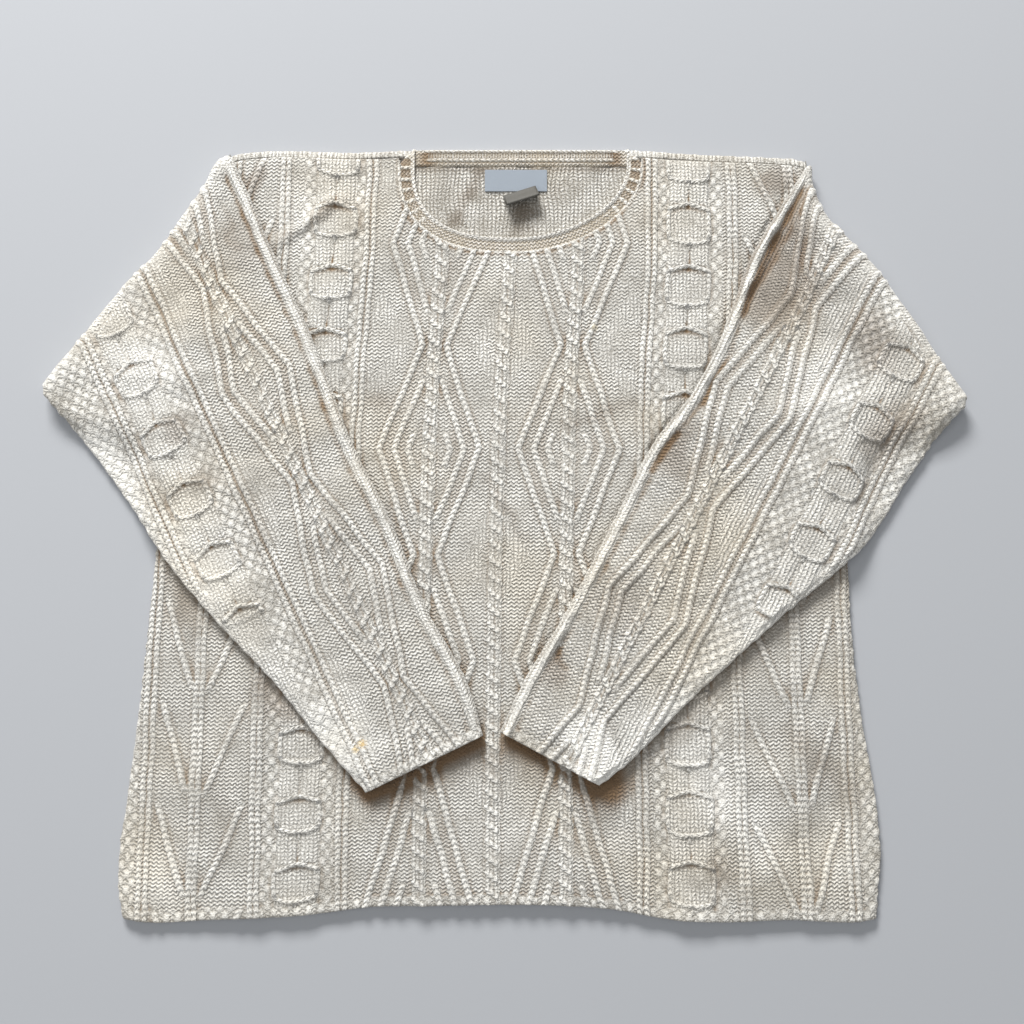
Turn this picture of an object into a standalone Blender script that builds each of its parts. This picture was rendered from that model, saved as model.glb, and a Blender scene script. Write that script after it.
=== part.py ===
"""Cable knit sweater lying flat on its back, both sleeves folded over the front.

Lengths are in millimetres until mesh_object() makes them metres. The origin is the middle of the
sweater's box, on the surface that it lies on: +X to the viewer's right, +Y to the neck, +Z up.
Panels, sleeves and neckband are lofts over rows and columns. The columns follow the raised lines
of the knitting, so the ridges stay whole when a Decimate modifier thins the mesh.
"""
import math

import bmesh
import bpy
import numpy as np

# Cloth and layers
WALL = 2.6               # one knitted layer, without its cables
GAP = 0.3                # between pieces, at seams and between layers
ARMHOLE_GAP = 0.6        # across the slanting armhole seam
FRONT_Z = WALL + 0.6     # inner side of the front panel
RELIEF = 1.9             # how far a cable stands out of its ground
ROLL = 5.0               # width of the rounded edge at a side seam
ROLL_DROP = 2.1          # how far that edge comes down to the side seam
EDGE_STEPS = (0.0, 0.5, 1.7, 3.4, ROLL)    # columns of that rounded edge
EDGING = 8.0             # width of the knitted edging at hem and cuffs
SHOULDER_ROLL = 7.0      # how far the back rolls over the shoulder to the front

# Outline of the body: smooth curves through rows of (place, value)
HEM = ((-318, -325), (-285, -329), (-240, -327), (-190, -325), (-150, -322), (-110, -317),
       (-60, -316), (0, -315), (50, -316), (90, -319), (130, -326), (170, -328.5), (230, -327),
       (290, -328), (308, -325))                                       # (x, y)
SHOULDER = ((-232, 322), (-130, 323.5), (-90, 325), (120, 325), (180, 320), (250, 318))  # (x, y)
LEFT_SIDE = ((-329, -309), (-310, -313), (-285, -314.5), (-240, -310.5), (-170, -304),
             (-100, -299), (-30, -294.5), (61, -290))                  # (y, x)
RIGHT_SIDE = ((-329, 301), (-310, 303), (-280, 306.5), (-240, 305), (-170, 296), (-114, 291),
              (-30, 289), (61, 287))                                   # (y, x)
ARMPIT_Y = 61.0
SHOULDER_POINT = {-1: (-231.0, 322.0), 1: (250.0, 318.0)}
HEM_Y = -328.0           # rows run straight from here to SEAM_Y, and bend to hem and shoulder
SEAM_Y = 315.0

# Chart of the front. Sides are -1 towards -X and 1 towards +X
AXIS = ((-320, -10), (-164, -9.5), (26, -6), (136, -2), (221, 4), (300, 6))   # middle rope (y, x)
ROPE_HALF = 6.0          # half width of a rope cable
ROPE_TURN = 23.2         # from one crossing of a rope to the next
SIDE_ROPE = 59.5         # from the middle rope to the ropes beside it
NARROW, WIDE = 10.5, 43.0    # least and most distance of a diamond's line from its rope
NARROW_Y, DIAMOND = 148.0, 180.0   # a narrow place, and the length of one diamond
NEST = 13.0              # from a diamond's line to the line inside it
LINE_HALF = 2.4          # half width of a line of one knit stitch
RING_PITCH = 55.6        # from ring to ring up a ring cable
RING_FOOT = {-1: 301.0, 1: 295.5}  # lowest point of one ring
RING_HALF = 17.5
RING_SAG = 6.0           # how much a ring's foot and head curve
ROWS_PER_RING = 12
RIBS = {                 # distance from the middle rope at the hem and at the shoulder
    -1: (("inner a", 119.5, 120.0), ("inner b", 125.5, 126.0), ("ring", 159.0, 153.0),
         ("outer a", 190.5, 196.0), ("outer b", 195.8, 201.3), ("tree a", 241.5, 240.0),
         ("tree b", 246.5, 245.0), ("edge a", 281.0, 280.0), ("edge b", 287.0, 286.0)),
    1: (("inner a", 119.5, 120.0), ("inner b", 125.5, 126.0), ("ring", 162.0, 155.0),
        ("outer a", 203.0, 190.0), ("outer b", 208.3, 195.3), ("tree a", 252.5, 240.0),
        ("tree b", 257.5, 245.0), ("edge a", 291.0, 280.0), ("edge b", 297.0, 286.0)),
}
RIB_RELIEF = 0.75 * RELIEF
LINE_RELIEF = 0.85 * RELIEF
NEST_RELIEF = 0.8 * RELIEF
BRANCH_PITCH, BRANCH_RUN = 83.0, 74.0     # of the slanting lines of the tree panel
BRANCH_TOP = {-1: -150.0, 1: -163.0}      # upper end of one of them

# Soft folds of the front: ends of the crest, width and height
FRONT_FOLDS = (
    # x0, y0, x1, y1, width, height
    (-206, 240, -150, 283, 15, 2.2),
    (232, -232, 214, -300, 20, 1.6),
    (-60, -250, -95, -312, 24, 1.3),
    (92, -262, 118, -318, 22, 1.4),
    (268, -150, 250, -205, 18, 1.5),
)

# Neck. The band's free edge is a half oval open to the back, its ends folded over at 45 degrees
NECK_X, NECK_Y = 8.0, 313.5
NECK_HALF = {-1: 90.0, 1: 103.0}
NECK_POWER = {-1: 2.6, 1: 1.9}
NECK_DEPTH = 68.5
BAND = 13.0              # width of the neckband
BAND_RIB = 7.4           # from rib to rib round the band
BAND_RELIEF = 0.9
BAND_RIM = 0.5           # the cast-off edge is this much thicker
BAND_END = 2.2           # room for the band's folded ends beyond its seam
SLANT_RUN = 26.0         # how far that room runs up along the slanting fold
CORNER_NOTCH = (7.0, 9.0, 1.8)   # of the back below each folded end: run, end of its slope, depth
BAND_SECTION = (         # round the strip: across from the seam, height, share of a rib's height
    (1.5, 0.0, 1.0), (12.3, 0.0, 1.0), (BAND, 0.8, 0.0), (BAND, WALL + BAND_RIM - 0.9, 0.0),
    (12.2, WALL + BAND_RIM, 0.4), (10.0, WALL + 0.1, 1.0), (6.0, WALL, 1.0), (2.5, WALL, 1.0),
    (0.7, WALL - 0.1, 0.3), (0.0, WALL - 0.8, 0.0), (0.0, 0.7, 0.0), (0.5, 0.0, 0.0),
)

# Sleeves, each in a frame of its own on the folded part: s out from the inner edge, b up
ARM_ORIGIN = {-1: (-216.0, 246.0), 1: (221.0, 256.0)}
ARM_TURN = {-1: 25.6, 1: -28.0}          # degrees
ARM_INNER = {
    -1: ((-480, 7), (-433, -1), (-359, 3), (-267, -1), (-209, 2), (-139, -2), (-30, -4), (80, -8)),
    1: ((-495, 5), (-441, 3), (-376, 7), (-279, 7), (-212, 7), (-160, 16), (-70, 17), (-16, 5),
        (80, 3)),
}                                         # (b, s)
ARM_OUTER = {
    -1: ((-480, 108), (-428, 124), (-352, 144), (-285, 167), (-234, 181), (-174, 192),
         (-125, 202), (-80, 213), (-40, 224)),
    1: ((-495, 94), (-456, 111), (-402, 128), (-338, 151), (-289, 170), (-243, 190), (-206, 204),
        (-136, 213), (-75, 223), (-40, 236)),
}                                         # (b, s)
CUFF_B = {-1: -470.0, 1: -488.0}
FOLD_RISE = {-1: -0.535, 1: -0.576}      # slope of the fold line, b over s
FOLD_B = {-1: 67.7, 1: 67.7}             # its height at s = 0
FOLD_BOW = {-1: (75.0, 5.0), 1: (45.0, 10.0)}    # where the fold is drawn in, and how far
FAN = 145.0              # the rows turn from the fold line's slope to level over this length
SLIT = 0.8               # hollow between a sleeve's two walls
TUBE = 2 * WALL + SLIT
FLAP_Z = 8.5             # the folded sleeve's lower side where it lies on the front
ARM_ROPE = {-1: 52.0, 1: 64.0}
ARM_NARROW = {-1: 8.5, 1: 12.0}
ARM_WIDE = {-1: 31.0, 1: 35.0}
ARM_NARROW_B = {-1: -25.0, 1: -45.0}
ARM_DIAMOND = {-1: 187.0, 1: 197.0}
ARM_NEST = 11.0
ARM_RIBS = {-1: (99.0, 106.5, 168.0, 174.0), 1: (108.0, 116.0, 186.0, 192.0)}
ARM_RING = {-1: 143.0, 1: 161.0}
ARM_RING_HALF = 16.0
ARM_RING_TOP = {-1: -57.5, 1: -38.5}
ARM_RING_PITCH = {-1: 57.5, 1: 58.2}
ARM_RING_END = -300.0
ARM_RING_START = (65.0, 100.0)   # the rings' arcs rise over this stretch below the fold
TUBE_EDGE = (60, 20, -20, -60)   # points of a sleeve's rounded edge, in degrees
ARM_FOLDS = {            # soft folds of the sleeves: ends of the crest, width and height
    -1: (
        # s0, b0, s1, b1, width, height
        (150, -60, 70, -115, 20, 1.6),
        (185, -150, 95, -205, 18, 1.3),
        (20, -215, 60, -300, 16, 1.2),
    ),
    1: (
        (6, 45, 20, -95, 9, 3.0),
        (21, -95, 13, -200, 9, 2.2),
        (10, -300, 8, -440, 8, 2.0),
        (170, -80, 80, -150, 20, 1.6),
        (150, -280, 60, -330, 18, 1.3),
    ),
}

# Label and size tag, inside the back of the neck
LABEL_SIZE = (55.0, 20.0, 0.8)
LABEL_PLACE = (9.5, 300.6)
TAG_WIDTH = 30.0
TAG_PLACE = (12.5, 289.0)
TAG_TURN = 18.0          # degrees
TAG_THICK = 0.5
TAG_FOLD = ((0.0, 0.0), (-4.0, 1.4), (-8.5, 5.2), (-10.6, 7.6), (-11.1, 8.8), (-10.0, 9.3),
            (-7.4, 8.0), (-3.0, 4.6), (0.6, 2.8))       # side view: (y, z)

# Share of the faces that Decimate keeps
KEEP = {"front": 0.095, "back": 0.10, "sleeve_left": 0.088, "sleeve_right": 0.088,
        "neckband": 0.24}

IVORY = (0.78, 0.74, 0.65, 1.0)
BAND_IVORY = (0.74, 0.69, 0.58, 1.0)
LABEL_WHITE = (0.80, 0.80, 0.78, 1.0)
TAG_BEIGE = (0.62, 0.55, 0.42, 1.0)


# ---------------------------------------------------------------- curves and shapes

def smooth(rows, place):
    """Value at place of a smooth curve through rows of (place, value)."""
    places, values = np.array(rows, float).T
    slopes = np.gradient(values, places)
    here = np.clip(np.searchsorted(places, place) - 1, 0, len(places) - 2)
    step = places[here + 1] - places[here]
    t = np.clip((place - places[here]) / step, 0.0, 1.0)
    return ((1 + 2 * t) * (1 - t) ** 2 * values[here] + t * (1 - t) ** 2 * step * slopes[here]
            + t * t * (3 - 2 * t) * values[here + 1] - t * t * (1 - t) * step * slopes[here + 1])


def ease(t):
    """0 to 1 with soft ends."""
    t = np.clip(t, 0.0, 1.0)
    return t * t * (3 - 2 * t)


def zigzag(place, start, period):
    """0 at start and every period from it, 1 half way between."""
    t = (place - start) / period % 1.0
    return 1 - abs(2 * t - 1)


def folds(table, x, y):
    """Height of the soft folds of a table at x, y."""
    lift = 0.0
    for x0, y0, x1, y1, width, height in table:
        along = np.clip(((x - x0) * (x1 - x0) + (y - y0) * (y1 - y0))
                        / ((x1 - x0) ** 2 + (y1 - y0) ** 2), 0.0, 1.0)
        away = np.hypot(x - x0 - along * (x1 - x0), y - y0 - along * (y1 - y0))
        ends = np.clip(4 * along * (1 - along), 0.0, 1.0) ** 0.5
        lift = lift + height * ends * ease(1 - away / width)
    return lift


def side_x(side, y):
    """Edge of the body panels: side seam, then the straight armhole up to the shoulder."""
    seam = smooth(LEFT_SIDE if side < 0 else RIGHT_SIDE, min(y, ARMPIT_Y))
    if y <= ARMPIT_Y:
        return seam
    top_x, top_y = SHOULDER_POINT[side]
    return seam + (top_x - seam) * (y - ARMPIT_Y) / (top_y - ARMPIT_Y)


def spread(xs, least, low, high):
    """Columns in order, at least this far apart, kept between two edges."""
    xs = list(xs)
    count = len(xs)
    for i in range(count):
        xs[i] = max(xs[i], low + i * least, xs[i - 1] + least if i else low)
    for i in reversed(range(count)):
        xs[i] = min(xs[i], high - (count - 1 - i) * least,
                    xs[i + 1] - least if i < count - 1 else high)
    return xs


# ---------------------------------------------------------------- meshes

def quads(rows, columns, first, around=False, ring=False):
    """Faces over a grid numbered row by row; around closes the rows, ring the columns."""
    faces = []
    for r in range(rows if ring else rows - 1):
        below = first + r * columns
        above = first + (r + 1) % rows * columns
        for c in range(columns if around else columns - 1):
            d = (c + 1) % columns
            faces.append((below + c, below + d, above + d, above + c))
    return faces


def material(name, colour, roughness):
    made = bpy.data.materials.new(name)
    made.use_nodes = True
    shader = made.node_tree.nodes["Principled BSDF"]
    shader.inputs["Base Color"].default_value = colour
    shader.inputs["Roughness"].default_value = roughness
    shader.inputs["Metallic"].default_value = 0.0
    made.diffuse_color = colour
    return made


def mesh_object(name, points, faces, finish):
    """Object from points in millimetres, with its faces turned outwards."""
    mesh = bpy.data.meshes.new(name)
    mesh.from_pydata([tuple(c * 0.001 for c in p) for p in points], [], faces)
    sheet = bmesh.new()
    sheet.from_mesh(mesh)
    bmesh.ops.recalc_face_normals(sheet, faces=sheet.faces)
    sheet.to_mesh(mesh)
    sheet.free()
    mesh.materials.append(finish)
    made = bpy.data.objects.new(name, mesh)
    sweater.objects.link(made)
    return made


def thin_out(made):
    """Thins the mesh where it is flat; runs last, after any cut."""
    joined = made.modifiers.new("join close points", "WELD")
    joined.merge_threshold = 0.0001
    thinner = made.modifiers.new("thin out", "DECIMATE")
    thinner.ratio = KEEP[made.name]


def cut_away(made, outline, bottom, top):
    """Cuts an upright prism out of a panel."""
    count = len(outline)
    points = [(x, y, z) for z in (bottom, top) for x, y in outline]
    faces = [tuple(range(count))[::-1], tuple(range(count, 2 * count))]
    faces += [(i, (i + 1) % count, count + (i + 1) % count, count + i) for i in range(count)]
    cutter = mesh_object(made.name + "_neck_cutter", points, faces, made.data.materials[0])
    sweater.objects.unlink(cutter)
    cutters.objects.link(cutter)
    cutter.hide_render = True
    cutter.display_type = "WIRE"
    cut = made.modifiers.new("neck", "BOOLEAN")
    cut.operation = "DIFFERENCE"
    cut.object = cutter


def slab(name, sheet, finish):
    """Closed wall between an upper and a lower grid of points."""
    upper, lower = sheet
    rows, columns = upper.shape[:2]
    count = rows * columns
    points = np.concatenate([upper.reshape(-1, 3), lower.reshape(-1, 3)])
    faces = quads(rows, columns, 0)
    faces += [tuple(count + i for i in reversed(face)) for face in faces]
    rim = ([c for c in range(columns)] + [r * columns + columns - 1 for r in range(1, rows)]
           + [(rows - 1) * columns + c for c in reversed(range(columns - 1))]
           + [r * columns for r in reversed(range(1, rows - 1))])
    faces += [(a, b, count + b, count + a) for a, b in zip(rim, rim[1:] + rim[:1])]
    return mesh_object(name, points, faces, finish)


# ---------------------------------------------------------------- front and back panels

def branch(y, side, start, end):
    """A slanting line of the tree panel at height y: its place, half width and height."""
    t = (BRANCH_TOP[side] - y) / BRANCH_PITCH % 1.0
    run = BRANCH_RUN / BRANCH_PITCH
    if t < run:
        shown = ease(6 * min(t, run - t) / run)
        return start + (end - start) * t / run, 1.3 * LINE_HALF, NEST_RELIEF * shown
    return end + (start - end) * (t - run) / (1 - run), 1.3 * LINE_HALF, 0.0


def add_line(columns, centre, half, height):
    """Adds the columns of one raised line."""
    columns.extend([(centre - half, 0.0), (centre, height), (centre + half, 0.0)])


def rope_height(y, start):
    """A rope is lower where its strands cross under."""
    return RELIEF * (0.72 + 0.28 * zigzag(y, start, ROPE_TURN))


def front_half(y, side):
    """Columns of one half of the front at row y, from the middle out: distance and height."""
    up = (y - HEM_Y) / (SEAM_Y - HEM_Y)
    place = {name: hem + (top - hem) * up for name, hem, top in RIBS[side]}
    columns = [(3.2, rope_height(y, 0.0)), (ROPE_HALF, 0.0)]
    away = NARROW + (WIDE - NARROW) * zigzag(y, NARROW_Y, DIAMOND)
    nest = max(away - NEST, ROPE_HALF + 1.5)
    nest_half = min(LINE_HALF, (away - nest) / 3)
    nest_height = NEST_RELIEF * ease((away - NARROW - 6) / 6)
    add_line(columns, SIDE_ROPE - away, LINE_HALF, LINE_RELIEF)
    add_line(columns, SIDE_ROPE - nest, nest_half, nest_height)
    columns += [(SIDE_ROPE - ROPE_HALF, 0.0), (SIDE_ROPE - 3.2, rope_height(y, 8.0)),
                (SIDE_ROPE + 3.2, rope_height(y, 8.0)), (SIDE_ROPE + ROPE_HALF, 0.0)]
    add_line(columns, SIDE_ROPE + nest, nest_half, nest_height)
    add_line(columns, SIDE_ROPE + away, LINE_HALF, LINE_RELIEF)
    add_line(columns, place["inner a"], LINE_HALF, RIB_RELIEF)
    add_line(columns, place["inner b"], LINE_HALF, RIB_RELIEF)
    columns += ring_columns(y, place["ring"], RING_HALF, RING_FOOT[side], RING_PITCH)
    add_line(columns, place["outer a"], LINE_HALF, RIB_RELIEF)
    add_line(columns, place["outer b"], LINE_HALF, RIB_RELIEF)
    add_line(columns, *branch(y, side, place["outer b"] + 6, place["tree a"] - 5))
    add_line(columns, place["tree a"], LINE_HALF, RIB_RELIEF)
    add_line(columns, place["tree b"], LINE_HALF, RIB_RELIEF)
    add_line(columns, *branch(y + 8, side, place["edge a"] - 5, place["tree b"] + 5))
    add_line(columns, place["edge a"], LINE_HALF, RIB_RELIEF)
    add_line(columns, place["edge b"], LINE_HALF, RIB_RELIEF)
    return columns


def ring_columns(y, centre, half, foot, pitch):
    """A ring cable: a flat knit band with a slit above each ring, and arcs at head and foot."""
    turn = (y - foot) / pitch % 1.0
    rows = ROWS_PER_RING * min(turn, 1 - turn, abs(turn - 0.5))
    arc = max(0.0, 1 - rows)
    flat = 0.45 * RELIEF
    columns = [(centre - half - 2.5, 0.0)]
    for share in (-1.0, -0.7, -0.35, 0.0, 0.35, 0.7, 1.0):
        height = flat * (0.4 if share == 0.0 and turn > 0.5 else 1.0)
        columns.append((centre + share * half, max(height, RELIEF * 1.1 * arc)))
    columns.append((centre + half + 2.5, 0.0))
    return columns


def ring_shift(off_middle, y, half, foot, pitch):
    """How far a row at y moves so that it follows the arcs of the rings."""
    wave = 2 * abs(2 * ((y - foot) / pitch % 1.0) - 1) - 1
    return RING_SAG * (off_middle / half) ** 2 * wave


def panel_rows():
    """Row heights: aligned to the rings, with close rows at the hem and shoulder."""
    step = RING_PITCH / ROWS_PER_RING
    first = RING_FOOT[-1] + step * math.floor((SEAM_Y - 1 - RING_FOOT[-1]) / step)
    rows = []
    y = first
    while y > HEM_Y + 1.5:
        rows.append(y)
        y -= step
    return [HEM_Y, HEM_Y + 1.0] + rows[::-1] + [SEAM_Y]


def bent(x, y, top_margin):
    """Row height y at x, bent to follow the hem and the shoulder."""
    down = (SEAM_Y - y) / (SEAM_Y - HEM_Y)
    return (y + (smooth(HEM, x) - HEM_Y) * down ** 4
            + (smooth(SHOULDER, x) - top_margin - SEAM_Y) * (1 - down) ** 4)


def roll_drop(distance):
    """How far a panel's outer side falls at this distance from its side edge."""
    t = min(max(1 - distance / ROLL, 0.0), 1.0)
    return ROLL_DROP * (1 - math.sqrt(1 - t * t))


def front_sheet():
    upper, lower = [], []
    for y in panel_rows():
        axis = smooth(AXIS, y)
        halves = {side: front_half(y, side) for side in (-1, 1)}
        columns = [(axis - d, h, -1, d) for d, h in reversed(halves[-1])]
        columns += [(axis + d, h, 1, d) for d, h in halves[1]]
        left, right = side_x(-1, y), side_x(1, y)
        xs = [left + e for e in EDGE_STEPS]
        xs += spread([x for x, *_ in columns], 0.3, left + ROLL + 0.5, right - ROLL - 0.5)
        xs += [right - e for e in reversed(EDGE_STEPS)]
        plain = [(0.0, 0, 0.0)] * len(EDGE_STEPS)
        marks = plain + [(h, s, d) for _, h, s, d in columns] + plain
        rings = {side: hem + (top - hem) * (y - HEM_Y) / (SEAM_Y - HEM_Y)
                 for side in (-1, 1) for name, hem, top in RIBS[side] if name == "ring"}
        fade = ease(min(y - HEM_Y - 2, SEAM_Y - y - 2) / 14)
        up, down = [], []
        for x, (height, side, distance) in zip(xs, marks):
            inside = min(x - left, right - x)
            shift = 0.0
            if side and inside > ROLL + 3 and abs(distance - rings[side]) < 1.2 * RING_HALF:
                shift = RING_FOOT[side] - RING_FOOT[-1] + ring_shift(
                    distance - rings[side], y, RING_HALF, RING_FOOT[-1], RING_PITCH)
            place = bent(x, y + shift * fade, SHOULDER_ROLL + GAP)
            lift = folds(FRONT_FOLDS, x, place)
            edge_drop = 0.8 if y in (HEM_Y, SEAM_Y) else 0.0
            height *= ease((inside - ROLL) / 3) * ease((SEAM_Y - y) / 5)
            if y < HEM_Y + EDGING:
                height = 0.7 * ease((y - HEM_Y) / 1.0)
            top = FRONT_Z + lift + WALL + height - roll_drop(inside) - edge_drop
            up.append((x, place, top))
            down.append((x, place, FRONT_Z + lift * ease(inside / 12)))
        upper.append(up)
        lower.append(down)
    return np.array(upper), np.array(lower)


def back_sheet():
    """Flat panel; its upper edge rolls over the shoulder and meets the front's seam."""
    roll_rows = (SHOULDER_ROLL, SHOULDER_ROLL - 0.2, 4.5, 2.4, 1.0, 0.0)
    lip = FRONT_Z + WALL
    upper, lower = [], []
    rows = [(y, None) for y in np.linspace(HEM_Y, SEAM_Y - 2, 46)]
    rows += [(SEAM_Y, distance) for distance in roll_rows]
    for y, distance in rows:
        over = 0.0 if distance is None else SHOULDER_ROLL - distance
        left, right = side_x(-1, y + over), side_x(1, y + over)
        xs = [left + e for e in EDGE_STEPS] + list(np.linspace(left + 12, right - 12, 40))
        xs += [right - e for e in reversed(EDGE_STEPS)]
        up, down = [], []
        for x in xs:
            inside = min(x - left, right - x)
            top, bottom = WALL, roll_drop(inside)
            place = bent(x, y, SHOULDER_ROLL) + over
            if distance is not None:
                rounded = math.sqrt(1 - (1 - min(distance / 3.2, 1.0)) ** 2)
                if distance < SHOULDER_ROLL:
                    top = lip - 0.5 * (1 - rounded) * lip
                    bottom = max(bottom, 0.42 * (1 - rounded) * lip)
            up.append((x, place, top))
            down.append((x, place, bottom))
        upper.append(up)
        lower.append(down)
    return np.array(upper), np.array(lower)


def band_edge(turn, out):
    """Point of the front half of the neckband, out from its free edge. turn: pi left, 2 pi right."""
    def free(angle):
        side = 1 if math.cos(angle) > 0 else -1
        power = 2 / NECK_POWER[side]
        return np.array((NECK_X + side * NECK_HALF[side] * abs(math.cos(angle)) ** power,
                         NECK_Y - NECK_DEPTH * abs(math.sin(angle)) ** power))
    near = 0.02
    low, high = max(turn - near, math.pi), min(turn + near, 2 * math.pi)
    along = free(high) - free(low)
    if turn - math.pi < near or 2 * math.pi - turn < near:
        along = np.array((0.0, -1.0 if turn < 1.5 * math.pi else 1.0))
    along = along / np.hypot(*along)
    return free(turn) + out * np.array((along[1], -along[0]))


def neck_corner(side, bottom):
    """Clearance for a folded end of the neckband: from this height up, along its slant."""
    edge = NECK_X + side * (NECK_HALF[side] + BAND)
    foot = NECK_Y + 1 - BAND_END
    return [(edge + side * BAND_END * 0.45, bottom), (edge + side * 2 * BAND_END, foot),
            (edge + side * (2 * BAND_END - SLANT_RUN), foot + SLANT_RUN)]


def neck_outline():
    """What the neckband fills of the front."""
    turns = np.linspace(math.pi, 2 * math.pi, 61)
    arc = [tuple(band_edge(turn, BAND + GAP)) for turn in turns]
    top = NECK_Y - 6.0
    arc = [point for point in arc if point[1] < top - 1.0]
    return neck_corner(-1, top)[::-1] + arc + neck_corner(1, top)


def back_neck_outline():
    """What it fills of the back."""
    foot = NECK_Y + 1 - 0.5
    ends = [neck_corner(side, foot)[1:] for side in (-1, 1)]
    left, right = ends[0][0][0], ends[1][0][0]
    run, slope_end, depth = CORNER_NOTCH
    return [(left, foot - depth), (left + run, foot - depth), (left + slope_end, foot),
            (right - slope_end, foot), (right - run, foot - depth), (right, foot - depth),
            ends[1][1], ends[0][1]]


# ---------------------------------------------------------------- neckband

def neckband_solid(finish):
    """Closed ribbed strip: half oval in front, folded at 45 degrees at both ends, bar behind."""
    left, right = NECK_X - NECK_HALF[-1] - BAND, NECK_X + NECK_HALF[1] + BAND
    middle = (left + right) / 2
    fold_z = (FRONT_Z + WALL) / 2
    mean_radius = FRONT_Z + WALL / 2 - fold_z
    seam_y = NECK_Y + 1.0
    turns = np.linspace(math.pi, 2 * math.pi, 721)
    arc = np.array([band_edge(turn, BAND / 2) for turn in turns])
    lengths = np.concatenate([[0.0], np.cumsum(np.hypot(*np.diff(arc, axis=0).T))])
    straight = (right - left) / 2 + 1.0      # from the oval's end, round the fold, to the middle
    total = lengths[-1] + 2 * straight
    count = 4 * round(total / BAND_RIB)

    bar_ribs = straight - BAND - 2.0     # the bar's ribs start clear of the front strip

    def place(length, across, height, rise):
        """rise is a rib's height; on the bar it stands on the other side, clear of the fold."""
        side = -1 if length < total / 2 else 1
        from_end = min(length, total - length)
        if from_end >= straight:
            turn = np.interp(length - straight, lengths, turns)
            x, y = band_edge(turn, BAND - across)
        else:
            y = NECK_Y + straight - from_end
            x = left + across if side < 0 else right - across
        root = math.sqrt(0.5)
        shift = math.pi * mean_radius / 2
        corner = (left if side < 0 else right) - side * shift * root, seam_y - shift * root
        out = ((x - corner[0]) * side + (y - corner[1])) * root
        run = (-(x - corner[0]) * side + (y - corner[1])) * root
        folded = out / (math.pi * mean_radius)
        if folded > 1:
            ribbed = from_end < bar_ribs
            height = min(height, WALL) if height > 0.5 else -0.8 * rise * ribbed
        else:
            height += rise * (height > 0.5) * (1 - ease(2 * folded - 1))
        z = FRONT_Z + height
        if out > 0:
            radius = z - fold_z
            angle = min(out / mean_radius, math.pi)
            past = max(out - math.pi * mean_radius, 0.0)
            out = radius * math.sin(angle) - past
            z = fold_z + radius * math.cos(angle)
        return (corner[0] + side * (out - run) * root, corner[1] + (out + run) * root, z)

    points = []
    for i in range(count):
        length = total * i / count
        rise = BAND_RELIEF if i % 4 in (1, 2) else 0.0
        for across, height, share in BAND_SECTION:
            points.append(place(length, across, height, share * rise))
    faces = quads(count, len(BAND_SECTION), 0, around=True, ring=True)
    return mesh_object("neckband", points, faces, finish)


# ---------------------------------------------------------------- sleeves

def arm_point(side, s, b):
    """Plan position of s, b in a sleeve's own frame."""
    turn = math.radians(ARM_TURN[side])
    x0, y0 = ARM_ORIGIN[side]
    return (x0 + side * math.cos(turn) * s - math.sin(turn) * b,
            y0 + side * math.sin(turn) * s + math.cos(turn) * b)


def arm_columns(side, b):
    """Columns of the folded sleeve at height b: distance from the inner edge's line, height."""
    columns = []
    rope = ARM_ROPE[side]
    away = ARM_NARROW[side] + (ARM_WIDE[side] - ARM_NARROW[side]) * zigzag(
        b, ARM_NARROW_B[side], ARM_DIAMOND[side])
    nest = max(away - ARM_NEST, ROPE_HALF)
    nest_height = NEST_RELIEF * ease((away - ARM_NEST - ROPE_HALF) / 5)
    half = min(LINE_HALF, (away - ROPE_HALF) / 4)
    nest_half = min(half, (away - nest) / 3)
    add_line(columns, rope - away, half, LINE_RELIEF)
    add_line(columns, rope - nest, nest_half, nest_height)
    columns += [(rope - 5.0, 0.0), (rope - 2.6, rope_height(b, 0.0)),
                (rope + 2.6, rope_height(b, 0.0)), (rope + 5.0, 0.0)]
    add_line(columns, rope + nest, nest_half, nest_height)
    add_line(columns, rope + away, half, LINE_RELIEF)
    inner_a, inner_b, outer_a, outer_b = ARM_RIBS[side]
    add_line(columns, inner_a, LINE_HALF, RIB_RELIEF)
    add_line(columns, inner_b, LINE_HALF, RIB_RELIEF)
    foot = ARM_RING_TOP[side] - ARM_RING_PITCH[side] / 2
    columns += ring_columns(b, ARM_RING[side], ARM_RING_HALF, foot, ARM_RING_PITCH[side])
    add_line(columns, outer_a, LINE_HALF, RIB_RELIEF)
    add_line(columns, outer_b, LINE_HALF, RIB_RELIEF)
    return columns


def outside_body(side, x, y):
    """Distance outside the body panels' edge, and above the lower edge of the sleeve's root."""
    beyond = side * (x - side_x(side, min(y, SHOULDER_POINT[side][1])))
    elbow = arm_point(side, smooth(ARM_OUTER[side], -45.0), -45.0)
    pit = (side_x(side, ARMPIT_Y), ARMPIT_Y)
    length = math.hypot(elbow[0] - pit[0], elbow[1] - pit[1])
    above = (side * (elbow[0] - pit[0]) * (y - pit[1])
             - side * (elbow[1] - pit[1]) * (x - pit[0])) / length
    return beyond, above


def flap_z(side, x, y, from_fold):
    """Lower side of the folded sleeve: on the front, on its own root, and down to the surface."""
    beyond, above = outside_body(side, x, y)
    outside = 0.6 + (TUBE + GAP) * ease((above + 26) / 30)
    lying = outside + (FLAP_Z - outside) * ease((28 - beyond) / 28)
    return lying + (FLAP_Z - lying) * ease(1 - from_fold / 45)


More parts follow.
